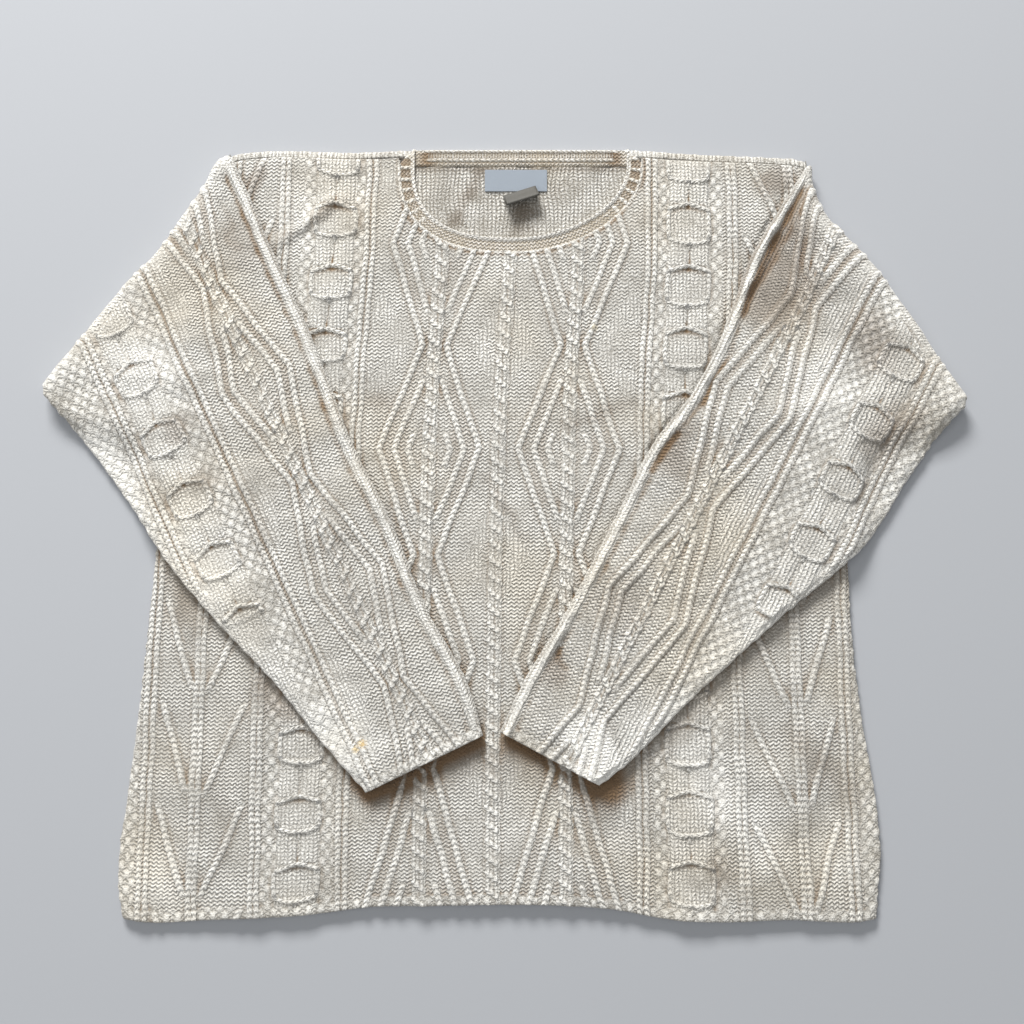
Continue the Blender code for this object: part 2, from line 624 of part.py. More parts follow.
def sleeve_solid(side, name, finish):
    """Flat knitted tube from the armhole, folded over at the fold line, and down to the cuff."""
    radius = TUBE / 2
    fold_z = (FLAP_Z + TUBE) / 2
    mean = fold_z - radius
    rise, fold_b = FOLD_RISE[side], FOLD_B[side]
    slant = math.hypot(1.0, rise)
    step = ARM_RING_PITCH[side] / ROWS_PER_RING
    middle = ARM_RING[side]
    fold_at_ring = fold_b + rise * middle
    ring_top = ARM_RING_TOP[side]

    levels = [fold_at_ring]
    b = ring_top + step * math.floor((fold_at_ring - 3 - ring_top) / step)
    while b > CUFF_B[side] + 3:
        levels.append(b)
        b -= step
    levels += [CUFF_B[side] + 1.0, CUFF_B[side]]

    def row_slope(level):
        return rise * (1 - ease((fold_at_ring - level) / FAN))

    def cross(level):
        """Columns where this row crosses the raised lines: (s, b, height)."""
        slope = row_slope(level)

        def at(s):
            return level + slope * (s - middle)

        low, high = 0.0, 200.0
        for _ in range(6):
            low = float(smooth(ARM_INNER[side], at(low)))
            high = float(smooth(ARM_OUTER[side], at(high)))
        found = [s for s, _ in arm_columns(side, level)]
        for _ in range(4):
            found = [arm_columns(side, at(s))[i][0] for i, s in enumerate(found)]
        heights = [arm_columns(side, at(s))[i][1] for i, s in enumerate(found)]
        kept = spread(found, 0.25, low + radius + 1.5, high - radius - 1.5)
        heights = [h * ease((high - radius - s) / 4) * ease((s - low - radius) / 4)
                   * ease(1 - abs(s - wanted) / 4) for h, s, wanted in zip(heights, kept, found)]
        return low, high, [(s, at(s), h) for s, h in zip(kept, heights)], at

    outer_rows, inner_rows = [], []

    def add_row(low, high, columns, place):
        """One section: upper wall, outer edge, lower wall, inner edge; then the slit."""
        outer = [place(s, radius + h) for s, h in columns]
        outer += [place(high - radius + radius * math.cos(math.radians(a)),
                        radius * math.sin(math.radians(a))) for a in TUBE_EDGE]
        outer += [place(s, -radius) for s, _ in reversed(columns)]
        outer += [place(low + radius - radius * math.cos(math.radians(a)),
                        radius * math.sin(math.radians(a))) for a in reversed(TUBE_EDGE)]
        thin = SLIT / 2
        inner = [place(s, thin) for s, _ in columns]
        inner += [place(high - radius - 1 + thin * (1 + math.cos(math.radians(a))),
                        thin * math.sin(math.radians(a))) for a in TUBE_EDGE]
        inner += [place(s, -thin) for s, _ in reversed(columns)]
        inner += [place(low + radius + 1 - thin * (1 + math.cos(math.radians(a))),
                        thin * math.sin(math.radians(a))) for a in reversed(TUBE_EDGE)]
        outer_rows.append(outer)
        inner_rows.append(inner)

    bow_s, bow_in = FOLD_BOW[side]

    def bowed(s, b, from_fold):
        """The fold line is drawn in a little near the shoulder."""
        pull = bow_in * math.exp(-((s - bow_s) / 38) ** 2) * (1 - ease(from_fold / 80))
        return s + pull * rise / slant, b - pull / slant

    low, high, columns, at = cross(levels[0])
    pit = np.array((side_x(side, ARMPIT_Y) + side * ARMHOLE_GAP, ARMPIT_Y))
    tip = np.array(SHOULDER_POINT[side]) + np.array((side * ARMHOLE_GAP, 0.0))

    def root_row(share):
        """A row of the root, on the surface: share 0 at the armhole, 1 at the fold's axis."""
        def place(s, h):
            t = (s - low) / (high - low)
            start = tip + (pit - tip) * t
            s2, b2 = bowed(s, at(s), 0.0)
            end = np.array(arm_point(side, s2, b2))
            x, y = start + (end - start) * share
            return (x, y, radius - h)
        return place

    plain = [(s, 0.0) for s, *_ in columns]
    for share in (0.0, 0.35, 0.7, 1.0):
        add_row(low, high, plain, root_row(share))

    for degrees in range(22, 180, 22):
        angle = math.radians(degrees)

        def place(s, h, angle=angle):
            if s > high - 2 * radius:
                s -= 5.0 * math.sin(angle) * ease((s - high + 2 * radius) / (2 * radius))
            s2, b2 = bowed(s, at(s), 0.0)
            out = (mean + h) * math.sin(angle)
            x, y = arm_point(side, s2 - out * rise / slant, b2 + out / slant)
            return (x, y, fold_z - (mean + h) * math.cos(angle))

        share = ease((degrees - 50) / 110)
        add_row(low, high, [(s, h * share) for s, _, h in columns], place)

    for level in levels:
        row_low, row_high, row, row_at = cross(level)
        edging = level < CUFF_B[side] + EDGING
        low_rings, high_rings = ARM_RING_START
        rings = (ease((fold_at_ring - level - low_rings) / (high_rings - low_rings))
                 * ease((level - ARM_RING_END) / 6))

        def place(s, h, row_at=row_at, rings=rings):
            b = row_at(s)
            wave = 0.0
            if abs(s - middle) < 1.2 * ARM_RING_HALF:
                wave = rings * ring_shift(s - middle, b, ARM_RING_HALF,
                                          ring_top - ARM_RING_PITCH[side] / 2, ARM_RING_PITCH[side])
            from_fold = ((fold_b + rise * s) - b) / slant
            s2, b2 = bowed(s, b + wave, from_fold)
            x, y = arm_point(side, s2, b2)
            lift = folds(ARM_FOLDS[side], s, b) * ease(from_fold / 25)
            return (x, y, flap_z(side, x, y, from_fold) + lift + radius + h)

        heights = []
        for s, b, h in row:
            if abs(s - middle) < 1.2 * ARM_RING_HALF:
                h *= rings
            if edging:
                h = 0.6 if level > CUFF_B[side] + 0.5 else -0.6
            heights.append((s, h))
        add_row(row_low, row_high, heights, place)

    rows, around = len(outer_rows), len(outer_rows[0])
    count = rows * around
    points = [p for row in outer_rows + inner_rows for p in row]
    faces = quads(rows, around, 0, around=True)
    faces += [face[::-1] for face in quads(rows, around, count, around=True)]
    for row in (0, rows - 1):
        first = row * around
        faces += [(first + c, first + (c + 1) % around, count + first + (c + 1) % around,
                   count + first + c) for c in range(around)]
    return mesh_object(name, points, faces, finish)


# ---------------------------------------------------------------- label and size tag

def label_solid(finish):
    """Plain woven label, lying on the inner side of the back."""
    width, height, thick = LABEL_SIZE
    x, y = LABEL_PLACE
    bottom = WALL + GAP
    box = bmesh.new()
    bmesh.ops.create_cube(box, size=1.0)
    bmesh.ops.scale(box, vec=(width, height, thick), verts=box.verts)
    bmesh.ops.translate(box, vec=(x, y, bottom + thick / 2), verts=box.verts)
    bmesh.ops.scale(box, vec=(0.001,) * 3, verts=box.verts)
    mesh = bpy.data.meshes.new("label")
    box.to_mesh(mesh)
    box.free()
    mesh.materials.append(finish)
    made = bpy.data.objects.new("label", mesh)
    sweater.objects.link(made)
    soft = made.modifiers.new("soft edges", "BEVEL")
    soft.width = 0.00025
    soft.segments = 1


def tag_solid(finish):
    """Short ribbon folded on itself, standing half up below the label."""
    turn = math.radians(TAG_TURN)
    points = []
    for across in np.linspace(-TAG_WIDTH / 2, TAG_WIDTH / 2, 5):
        for y, z in TAG_FOLD:
            points.append((TAG_PLACE[0] + across * math.cos(turn) - y * math.sin(turn),
                           TAG_PLACE[1] + across * math.sin(turn) + y * math.cos(turn),
                           WALL + 2 * GAP + LABEL_SIZE[2] + TAG_THICK / 2 + z))
    made = mesh_object("size_tag", points, quads(5, len(TAG_FOLD), 0), finish)
    thick = made.modifiers.new("ribbon", "SOLIDIFY")
    thick.thickness = TAG_THICK * 0.001
    thick.offset = 0.0


# ---------------------------------------------------------------- the sweater

for old in list(bpy.data.objects):
    bpy.data.objects.remove(old, do_unlink=True)
sweater = bpy.data.collections.new("cable_knit_sweater")
cutters = bpy.data.collections.new("cutters")
bpy.context.scene.collection.children.link(sweater)
bpy.context.scene.collection.children.link(cutters)

back = slab("back", back_sheet(), material("back wool", IVORY, 0.95))
cut_away(back, back_neck_outline(), -5.0, 20.0)
thin_out(back)
front = slab("front", front_sheet(), material("front wool", IVORY, 0.95))
cut_away(front, neck_outline(), 0.5, 20.0)
thin_out(front)
thin_out(sleeve_solid(-1, "sleeve_left", material("left sleeve wool", IVORY, 0.95)))
thin_out(sleeve_solid(1, "sleeve_right", material("right sleeve wool", IVORY, 0.95)))
thin_out(neckband_solid(material("neckband wool", BAND_IVORY, 0.95)))
label_solid(material("label ribbon", LABEL_WHITE, 0.7))
tag_solid(material("tag ribbon", TAG_BEIGE, 0.8))
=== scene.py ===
"""Looks of the cable knit sweater, laid flat with both sleeves folded over the front.

Tables and shapes are in millimetres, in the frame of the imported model: +X to the viewer's right,
+Y to the neck, +Z up. Each mesh gets its points in metres.
"""

import math

import bpy
import numpy as np
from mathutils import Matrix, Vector


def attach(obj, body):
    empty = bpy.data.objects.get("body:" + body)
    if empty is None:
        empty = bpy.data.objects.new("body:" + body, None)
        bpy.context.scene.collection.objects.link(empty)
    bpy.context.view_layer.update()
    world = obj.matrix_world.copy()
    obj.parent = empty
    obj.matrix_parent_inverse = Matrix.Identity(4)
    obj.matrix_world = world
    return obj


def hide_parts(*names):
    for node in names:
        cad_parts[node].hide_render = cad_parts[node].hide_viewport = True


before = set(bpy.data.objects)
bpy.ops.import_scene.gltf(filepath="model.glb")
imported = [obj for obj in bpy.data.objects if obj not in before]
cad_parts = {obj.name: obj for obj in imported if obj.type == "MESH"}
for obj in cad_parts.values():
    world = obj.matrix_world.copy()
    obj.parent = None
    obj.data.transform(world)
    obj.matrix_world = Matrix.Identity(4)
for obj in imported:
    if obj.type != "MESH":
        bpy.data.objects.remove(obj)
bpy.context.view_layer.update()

# ---------------------------------------------------------------- camera, floor and light
# The sweater is seen from right above its middle, a little from the hem's side. The floor is
# plain and pale. A broad light stands beyond the neck and rakes over the stitches.

CAMERA_PLACE, CAMERA_AIM = (0.006, -0.11013, 0.9128), (0.006, 0.006, 0.0)        # metres
CAMERA_LENS, SENSOR = 37.97, 36.0
FLOOR_DROP = 0.0006
FLOOR_COLOUR = (0.44, 0.455, 0.48, 1.0)


def aim(thing, target):
    """Turns a camera or a light towards a point."""
    thing.rotation_euler = (Vector(target) - thing.location).to_track_quat("-Z", "Y").to_euler()


def new_finish(name, roughness):
    """New material of this roughness, with its node tree and its shader."""
    made = bpy.data.materials.new(name)
    made.use_nodes = True
    shader = made.node_tree.nodes["Principled BSDF"]
    shader.inputs["Roughness"].default_value = roughness
    return made, made.node_tree, shader


bpy.ops.object.select_all(action="DESELECT")
bpy.ops.object.camera_add(location=CAMERA_PLACE)
camera = bpy.context.object
camera.name = "camera"
camera.data.lens = CAMERA_LENS
camera.data.sensor_width = SENSOR
camera.data.clip_start = 0.01
aim(camera, CAMERA_AIM)
bpy.context.scene.camera = camera
bpy.context.scene.view_settings.view_transform = "Standard"

bpy.ops.mesh.primitive_plane_add(size=8.0, location=(0, 0, -FLOOR_DROP))
floor = bpy.context.object
floor.name = "floor"
floor_finish, _, floor_shader = new_finish("pale floor", 0.9)
floor_shader.inputs["Base Color"].default_value = FLOOR_COLOUR
floor.data.materials.append(floor_finish)


def add_light(name, place, size, power, colour):
    """Soft rectangular light, turned towards the sweater's middle."""
    bpy.ops.object.light_add(type="AREA", location=place)
    light = bpy.context.object
    light.name = name
    light.data.shape = "RECTANGLE"
    light.data.size, light.data.size_y = size
    light.data.energy = power
    light.data.color = colour
    aim(light, (0.0, 0.0, 0.0))


add_light("window", (-0.9, 3.3, 1.9), (1.6, 1.0), 224.0, (1.0, 0.99, 0.975))
add_light("room", (-0.5, -0.3, 2.2), (2.4, 2.4), 19.0, (0.99, 0.995, 1.0))

world = bpy.data.worlds.new("soft studio")
world.use_nodes = True
sky = world.node_tree.nodes["Background"]
sky.inputs["Color"].default_value = (0.96, 0.98, 1.0, 1.0)
sky.inputs["Strength"].default_value = 0.25
bpy.context.scene.world = world

# ---------------------------------------------------------------- back panel
# Knitted wool, one layer, with its purl side inwards. It lies flat on the surface, rolls over
# both shoulders to the seam with the front, and shows its fine inner columns in the neck.

WALL, GAP = 2.6, 0.3             # thickness of one layer, and space between two
FRONT_Z = WALL + 2 * GAP
RELIEF = 1.9                     # how far a full strand stands out
ROLL, ROLL_DROP = 5.0, 2.1       # width and fall of a panel's rolled side edge
SHOULDER_ROLL = 7.0
EDGING_WAVE = 9                  # length of the small bumps along an edge
WALE, COURSE = 4.8, 3.2          # width and height of one stitch
INNER_WALE = 5.2                 # width of a column on the inner side, in the neck
DEPTH_REACH = 3                  # points of a grid that its depth is told from, to each side
HEM_Y, SEAM_Y, ARMPIT_Y = -328.0, 315.0, 61.0
NECK_EDGE, NECK_SPAN = 313.7, (-81.5, 109.0)         # where the back ends at the neckband's bar
# The edges as they lie: (x, y) along the hem and the shoulders, (y, x) up each side.
HEM = ((-318, -325), (-285, -329), (-240, -327), (-190, -325), (-150, -322), (-110, -317),
       (-60, -316), (0, -315), (50, -316), (90, -319), (130, -326), (170, -328.5), (230, -327),
       (290, -328), (308, -325))
SHOULDER = ((-247, 319), (-241, 323), (-233, 325.5), (-225, 326.5), (-130, 326.5), (-90, 328), (120, 328),
            (180, 324), (240, 321.5), (257, 320), (262, 318.8), (266, 316.5), (270, 312.5))
SIDE = {
    -1: ((-329, -309), (-310, -313), (-285, -314.5), (-240, -310.5), (-170, -304), (-100, -299),
         (-30, -294.5), (61, -290)),
    1: ((-329, 301), (-310, 303), (-280, 306.5), (-240, 305), (-170, 296), (-114, 291),
        (-30, 289), (61, 287)),
}
SHOULDER_POINT = {-1: (-243.0, 325.0), 1: (265.0, 319.0)}      # side -1 is towards -X


def smooth(rows, place):
    """Value at place of a smooth curve through rows of (place, value)."""
    places, values = np.array(rows, float).T
    slopes = np.gradient(values, places)
    here = np.clip(np.searchsorted(places, place) - 1, 0, len(places) - 2)
    step = places[here + 1] - places[here]
    t = np.clip((place - places[here]) / step, 0.0, 1.0)
    return ((1 + 2 * t) * (1 - t) ** 2 * values[here] + t * (1 - t) ** 2 * step * slopes[here]
            + t * t * (3 - 2 * t) * values[here + 1] - t * t * (1 - t) * step * slopes[here + 1])


def ease(t):
    """0 to 1 with soft ends."""
    t = np.clip(t, 0.0, 1.0)
    return t * t * (3 - 2 * t)


def bell(away, reach):
    """1 where away is 0, falling softly to nearly 0 at twice the reach."""
    return np.exp(-(away / reach) ** 2)


def quarter(away, reach):
    """1 at an edge and 0 from this reach on, as a quarter circle."""
    t = np.clip(1 - away / reach, 0.0, 1.0)
    return 1 - np.sqrt(1 - t * t)


def unevenness(x, y, size, seed):
    """Soft waves of cloth that no one has smoothed out, about -1 to 1."""
    turn = np.random.default_rng(seed)
    total = 0.0
    for _ in range(9):
        angle, phase = turn.uniform(0, math.pi), turn.uniform(0, 2 * math.pi)
        pitch = size * turn.uniform(0.6, 1.7)
        total = total + np.sin((x * math.cos(angle) + y * math.sin(angle)) * 2 * math.pi / pitch + phase)
    return total / 4.2


def side_x(side, y):
    """Edge of the body panels: side seam, then the straight armhole up to the shoulder."""
    seam = smooth(SIDE[side], np.minimum(y, ARMPIT_Y))
    top_x, top_y = SHOULDER_POINT[side]
    bumps = 0.6 * unevenness(y * 0, y, EDGING_WAVE, 2) * ease((ARMPIT_Y - y) / 60)
    return seam + bumps + (top_x - seam) * np.maximum(y - ARMPIT_Y, 0.0) / (top_y - ARMPIT_Y)


def bent(x, y, margin):
    """Row height y at x, bent to follow the hem and the shoulder."""
    down = (SEAM_Y - y) / (SEAM_Y - HEM_Y)
    return (y + (smooth(HEM, x) - HEM_Y) * down ** 4
            + (smooth(SHOULDER, x) - margin - SEAM_Y) * (1 - down) ** 4)


def grid_piece(name, points):
    """Mesh grid with its vertices at points (rows, columns, 3), in millimetres."""
    rows, columns = points.shape[:2]
    bpy.ops.object.select_all(action="DESELECT")
    bpy.ops.mesh.primitive_grid_add(x_subdivisions=columns - 1, y_subdivisions=rows - 1, size=1.0)
    piece = bpy.context.object
    piece.name = piece.data.name = name
    piece.data.vertices.foreach_set("co", (points * 0.001).astype(np.float32).ravel())
    piece.data.update()
    bpy.ops.object.shade_smooth()
    return piece


def blank_chart(shape):
    """Chart of the knitting at each point: plain purl ground, with nothing laid on it yet."""
    chart = {key: np.zeros(shape) for key in ("height", "ground", "across", "along", "shade", "tone")}
    chart.update({key: np.full(shape, -1.0) for key in ("strand", "knit", "seed")})
    return chart


def add_area(chart, kind, inside):
    """Marks a knit or seed area: inside is above 0 in it."""
    chart[kind] = np.maximum(chart[kind], np.clip(inside, -1.0, 1.0))


def stand_out(relief, reach):
    """How far each point of the grid stands above the mean of its neighbours."""
    mean = relief
    for axis in (0, 1):
        before = np.repeat(mean.take([0], axis), reach + 1, axis)
        after = np.repeat(mean.take([-1], axis), reach, axis)
        padded = np.concatenate([before, mean, after], axis)
        sums = np.cumsum(padded, axis)
        window, count = 2 * reach + 1, sums.shape[axis]
        mean = (sums.take(range(window, count), axis) - sums.take(range(count - window), axis)) / window
    return relief - mean


def dress(piece, wale, course, chart):
    """Stores the stitches: two UV maps, one attribute for each kind of knitting, and the depth and painted
    light and shade that colour the wool.
    """
    mesh = piece.data
    corner = np.zeros(len(mesh.loops), np.int32)
    mesh.loops.foreach_get("vertex_index", corner)
    for layer in list(mesh.uv_layers):
        mesh.uv_layers.remove(layer)
    for name, u, v in (("stitches", wale, course), ("strand", chart["across"], chart["along"])):
        layer = mesh.uv_layers.new(name=name)
        both = np.stack([u.ravel()[corner], v.ravel()[corner]], -1)
        layer.uv.foreach_set("vector", both.astype(np.float32).ravel())
    # Depth is how far a point stands out, less its painted shade; where it is low the wool gets painted
    # brown shade.
    depth = (stand_out(chart["height"] + chart["ground"], DEPTH_REACH) + 0.25 * chart["ground"]
             - chart["shade"])
    for name, values in (("strand_area", chart["strand"]), ("knit_area", chart["knit"]),
                         ("seed_area", chart["seed"]), ("depth", depth), ("tone", chart["tone"])):
        store = mesh.attributes.new(name, "FLOAT", "POINT")
        store.data.foreach_set("value", values.astype(np.float32).ravel())


def pick(piece):
    """Makes a piece the only selected one, and the active one."""
    bpy.ops.object.select_all(action="DESELECT")
    piece.select_set(True)
    bpy.context.view_layer.objects.active = piece


def close_up(piece):
    """Welds the rows and columns of a piece that meet, and turns its faces outwards."""
    pick(piece)
    bpy.ops.object.mode_set(mode="EDIT")
    bpy.ops.mesh.select_all(action="SELECT")
    bpy.ops.mesh.remove_doubles(threshold=2e-6)
    bpy.ops.mesh.normals_make_consistent(inside=False)
    bpy.ops.object.mode_set(mode="OBJECT")


def math_step(operation, *values):
    """Math node with numbers or sockets as its inputs, in the tree of the sockets; gives its output."""
    tree = next(value.id_data for value in values if not isinstance(value, (int, float)))
    node = tree.nodes.new("ShaderNodeMath")
    node.operation = operation
    for socket, value in zip(node.inputs, values):
        if isinstance(value, (int, float)):
            socket.default_value = value
        else:
            tree.links.new(value, socket)
    return node.outputs[0]


def scaled(value, factor, plus=0.0):
    """value * factor + plus."""
    return math_step("MULTIPLY_ADD", value, factor, plus)


def wave_step(phase):
    """0 to 1 and back once for each whole number of phase, 1 at whole numbers."""
    return scaled(math_step("COSINE", scaled(phase, 2 * math.pi)), 0.5, 0.5)


def mix_step(factor, low, high):
    """low where factor is 0, high where it is 1."""
    return scaled(math_step("SUBTRACT", high, low), factor, low)


def soft_step(value, start, end):
    """0 below start, 1 above end."""
    tree = value.id_data
    node = tree.nodes.new("ShaderNodeMapRange")
    node.interpolation_type = "SMOOTHSTEP"
    node.inputs["From Min"].default_value = start
    node.inputs["From Max"].default_value = end
    tree.links.new(value, node.inputs["Value"])
    return node.outputs["Result"]


def noise_step(place, scale, detail=2.0):
    """Soft noise over the object; gives its node."""
    tree = place.id_data
    node = tree.nodes.new("ShaderNodeTexNoise")
    node.inputs["Scale"].default_value = scale
    node.inputs["Detail"].default_value = detail
    tree.links.new(place, node.inputs["Vector"])
    return node


def stored_step(tree, name):
    """Value that dress stores at each point of a mesh."""
    node = tree.nodes.new("ShaderNodeAttribute")
    node.attribute_name = name
    return node.outputs["Fac"]


def colour_step(factor, low, high, blend="MIX"):
    """Colour low where factor is 0, and high, or low times high, where it is 1."""
    tree = factor.id_data
    node = tree.nodes.new("ShaderNodeMix")
    node.data_type, node.blend_type = "RGBA", blend
    tree.links.new(factor, node.inputs["Factor"])
    for name, colour in (("A", low), ("B", high)):
        if isinstance(colour, tuple):
            node.inputs[name].default_value = colour
        else:
            tree.links.new(colour, node.inputs[name])
    return node.outputs["Result"]


def bump_step(height, strength, distance):
    """Lets a height stand out on its material's shader."""
    tree = height.id_data
    node = tree.nodes.new("ShaderNodeBump")
    node.inputs["Strength"].default_value = strength
    node.inputs["Distance"].default_value = distance
    tree.links.new(height, node.inputs["Height"])
    tree.links.new(node.outputs["Normal"], tree.nodes["Principled BSDF"].inputs["Normal"])


# One stitch in the shader: a knit stitch is a V of two legs, a purl ground is rows of waves, seed
# stitch is a checker of bumps. A strand laid on the ground carries its own column of V stitches.
stitches = bpy.data.node_groups.new("knitted stitches", "ShaderNodeTree")
for name in ("Ground", "Strand"):
    stitches.interface.new_socket(name, in_out="INPUT", socket_type="NodeSocketVector")
for name in ("Strand area", "Knit area", "Seed area"):
    stitches.interface.new_socket(name, in_out="INPUT", socket_type="NodeSocketFloat")
stitches.interface.new_socket("Height", in_out="OUTPUT", socket_type="NodeSocketFloat")
given = stitches.nodes.new("NodeGroupInput")
ground_uv = stitches.nodes.new("ShaderNodeSeparateXYZ")
strand_uv = stitches.nodes.new("ShaderNodeSeparateXYZ")
stitches.links.new(given.outputs["Ground"], ground_uv.inputs[0])
stitches.links.new(given.outputs["Strand"], strand_uv.inputs[0])


def knit_height(wide, tall):
    """Column of V stitches: wide is 0 in its middle and 1 at its edge."""
    legs = wave_step(scaled(wide, -0.6, tall))
    round_leg = math_step("SINE", scaled(wide, 2.9, 0.12))
    return scaled(round_leg, scaled(legs, 0.55, 0.45))


wale_u, course_v = ground_uv.outputs["X"], ground_uv.outputs["Y"]
in_wale = scaled(math_step("PINGPONG", scaled(wale_u, 0.72), 0.5), 2.0)
knit_ground = knit_height(in_wale, course_v)
wavy = scaled(wave_step(wale_u), 0.45, course_v)
purl_ridge = math_step("POWER", wave_step(wavy), 0.8)
purl_bead = wave_step(scaled(wale_u, 2.0))
purl_ground = scaled(purl_ridge, scaled(purl_bead, 0.3, 0.7))
checker = scaled(math_step("SINE", scaled(wale_u, math.pi)),
                 math_step("SINE", scaled(course_v, math.pi / 2)))
seed_ground = mix_step(soft_step(checker, -0.15, 0.2),
                       scaled(purl_ground, 0.5), scaled(checker, 0.5, 0.55))
twist = scaled(math_step("ABSOLUTE", strand_uv.outputs["X"]), 0.45,
               scaled(strand_uv.outputs["Y"], 0.68))
strand_knit = math_step("POWER", wave_step(twist), 0.7)
is_knit = soft_step(given.outputs["Knit area"], -0.05, 0.08)
is_seed = soft_step(given.outputs["Seed area"], -0.05, 0.08)
is_strand = soft_step(given.outputs["Strand area"], -0.1, 0.25)
stitch_height = mix_step(is_knit, purl_ground, knit_ground)
stitch_height = mix_step(is_seed, stitch_height, seed_ground)
groove = soft_step(given.outputs["Strand area"], -0.6, -0.1)
stitch_height = scaled(groove, -0.35, stitch_height)
stitch_height = mix_step(is_strand, stitch_height, scaled(strand_knit, 0.8, 0.1))
taken = stitches.nodes.new("NodeGroupOutput")
stitches.links.new(stitch_height, taken.inputs["Height"])


def wool(name, light, dark, stains=(), stray=0.8):
    """Ivory wool: stitches from the piece's maps, with painted shade in gaps and hollows, painted light and
    shade in patches, a soft fuzz on top.
    """
    made, tree, shader = new_finish(name, 0.92)
    for socket, value in (("Specular IOR Level", 0.25), ("Sheen Weight", 0.35), ("Sheen Roughness", 0.45)):
        shader.inputs[socket].default_value = value
    stitched = tree.nodes.new("ShaderNodeGroup")
    stitched.node_tree = stitches
    place = tree.nodes.new("ShaderNodeTexCoord").outputs["Object"]
    sway = noise_step(place, 110.0, 3.0)
    for map_name, socket, amount in (("stitches", "Ground", stray), ("strand", "Strand", 0.3)):
        uv = tree.nodes.new("ShaderNodeUVMap")
        uv.uv_map = map_name
        moved = tree.nodes.new("ShaderNodeVectorMath")
        moved.operation = "MULTIPLY_ADD"
        tree.links.new(sway.outputs["Color"], moved.inputs[0])
        moved.inputs[1].default_value = (amount, amount, 0.0)
        tree.links.new(uv.outputs["UV"], moved.inputs[2])
        tree.links.new(moved.outputs[0], stitched.inputs[socket])
    for kind in ("Strand", "Knit", "Seed"):
        tree.links.new(stored_step(tree, kind.lower() + "_area"), stitched.inputs[kind + " area"])

    fibre = noise_step(place, 750.0, 4.0).outputs["Fac"]
    patch = noise_step(place, 45.0).outputs["Fac"]
    clear = scaled(soft_step(patch, 0.35, 0.65), 0.5, 0.6)
    height = scaled(math_step("SUBTRACT", stitched.outputs["Height"], 0.45), clear, 0.45)
    bump_step(scaled(fibre, 1.0, height), 1.0, STITCH_BUMP)

    deep, tone = stored_step(tree, "depth"), stored_step(tree, "tone")
    # From the dark colour in the gaps to the light one on the stitches' tops: painted light and shade from
    # the stitch relief and the depth map, mottled at random by noise.
    lit = scaled(height, 0.8, scaled(deep, 0.2))
    lit = math_step("ADD", lit, scaled(patch, 0.9, -0.45))
    lit = math_step("ADD", lit, scaled(fibre, 2.4, -1.2))
    # Painted light and shade in broad patches: the wool is lighter where that map is below 0, and darker
    # and greyer where it is above 0.
    lit = scaled(tone, -0.3, lit)
    cream = noise_step(place, 9.0).outputs["Fac"]
    shown = colour_step(soft_step(lit, -0.25, 1.25), dark, light)
    # Painted brown shade where the depth map is low: in hollows, creases and beside raised strands.
    shown = colour_step(soft_step(deep, -0.15, -1.3), shown, HOLLOW_SHADE_BROWN)
    shown = colour_step(soft_step(cream, 0.45, 0.75), shown, CREAM, "MULTIPLY")
    shown = colour_step(soft_step(tone, 0.0, 1.3), shown, PAINTED_SHADE_TINT, "MULTIPLY")
    for spot, radius, tint in stains:
        away = tree.nodes.new("ShaderNodeVectorMath")
        away.operation = "DISTANCE"
        tree.links.new(place, away.inputs[0])
        away.inputs[1].default_value = spot
        edge = scaled(fibre, radius * 2.2, away.outputs["Value"])
        shown = colour_step(soft_step(edge, radius * 1.1, radius * 2.4), tint, shown)
    tree.links.new(shown, shader.inputs["Base Color"])
    return made


STITCH_BUMP = 0.0011
# The wool's lit colour, and painted shade for the gaps between stitches; the inner side's gaps get a deeper
# painted shade.
WOOL_LIGHT, WOOL_DARK = (0.90, 0.885, 0.835, 1.0), (0.37, 0.35, 0.31, 1.0)
INNER_DARK = (0.25, 0.225, 0.185, 1.0)
# Painted brown shade for hollows, a cream tint for random patches, and the tint of the broad painted shade.
HOLLOW_SHADE_BROWN, CREAM, PAINTED_SHADE_TINT = (0.25, 0.17, 0.10, 1.0), (1.0, 0.96, 0.89, 1.0), (0.80, 0.755, 0.725, 1.0)
STAINS = (
    # where, how far it reaches, its colour
    ((0.077, 0.166, 0.008), 0.0035, (0.70, 0.63, 0.48, 1.0)),
    ((-0.1165, -0.1865, 0.016), 0.0042, (0.78, 0.58, 0.30, 1.0)),
    ((-0.1215, -0.191, 0.016), 0.0032, (0.78, 0.63, 0.38, 1.0)),
)
body_wool = wool("ivory wool", WOOL_LIGHT, WOOL_DARK, STAINS)


def all_round(over, under):
    """Rows of a panel's upper side, then of its lower side on the way back, and the first again."""
    return np.concatenate([over, under[::-1], over[:1]])


# Its rows and columns are close together where the neck shows them, and where its edges turn.
flat_rows = np.concatenate([np.linspace(HEM_Y, 236, 64), np.arange(238, SEAM_Y, 2.0)])
roll_steps = np.array([0.0, 0.6, 1.4, 2.4, 3.4, 4.4, 5.4, 6.2, 6.8, SHOULDER_ROLL])
rows = np.concatenate([flat_rows, np.full(len(roll_steps), SEAM_Y)])
over = np.concatenate([np.zeros_like(flat_rows), roll_steps])
share = np.concatenate([[0.0, 0.0, 0.001, 0.003, 0.0055, 0.008], np.linspace(0.012, 0.27, 30),
                        np.linspace(0.2735, 0.745, 134), np.linspace(0.753, 0.988, 30),
                        [0.992, 0.9945, 0.997, 0.999, 1.0, 1.0]])
back_y = np.repeat(rows[:, None], len(share), 1)
back_over = np.repeat(over[:, None], len(share), 1)
left, right = side_x(-1, back_y + back_over), side_x(1, back_y + back_over)
back_x = left + (right - left) * share
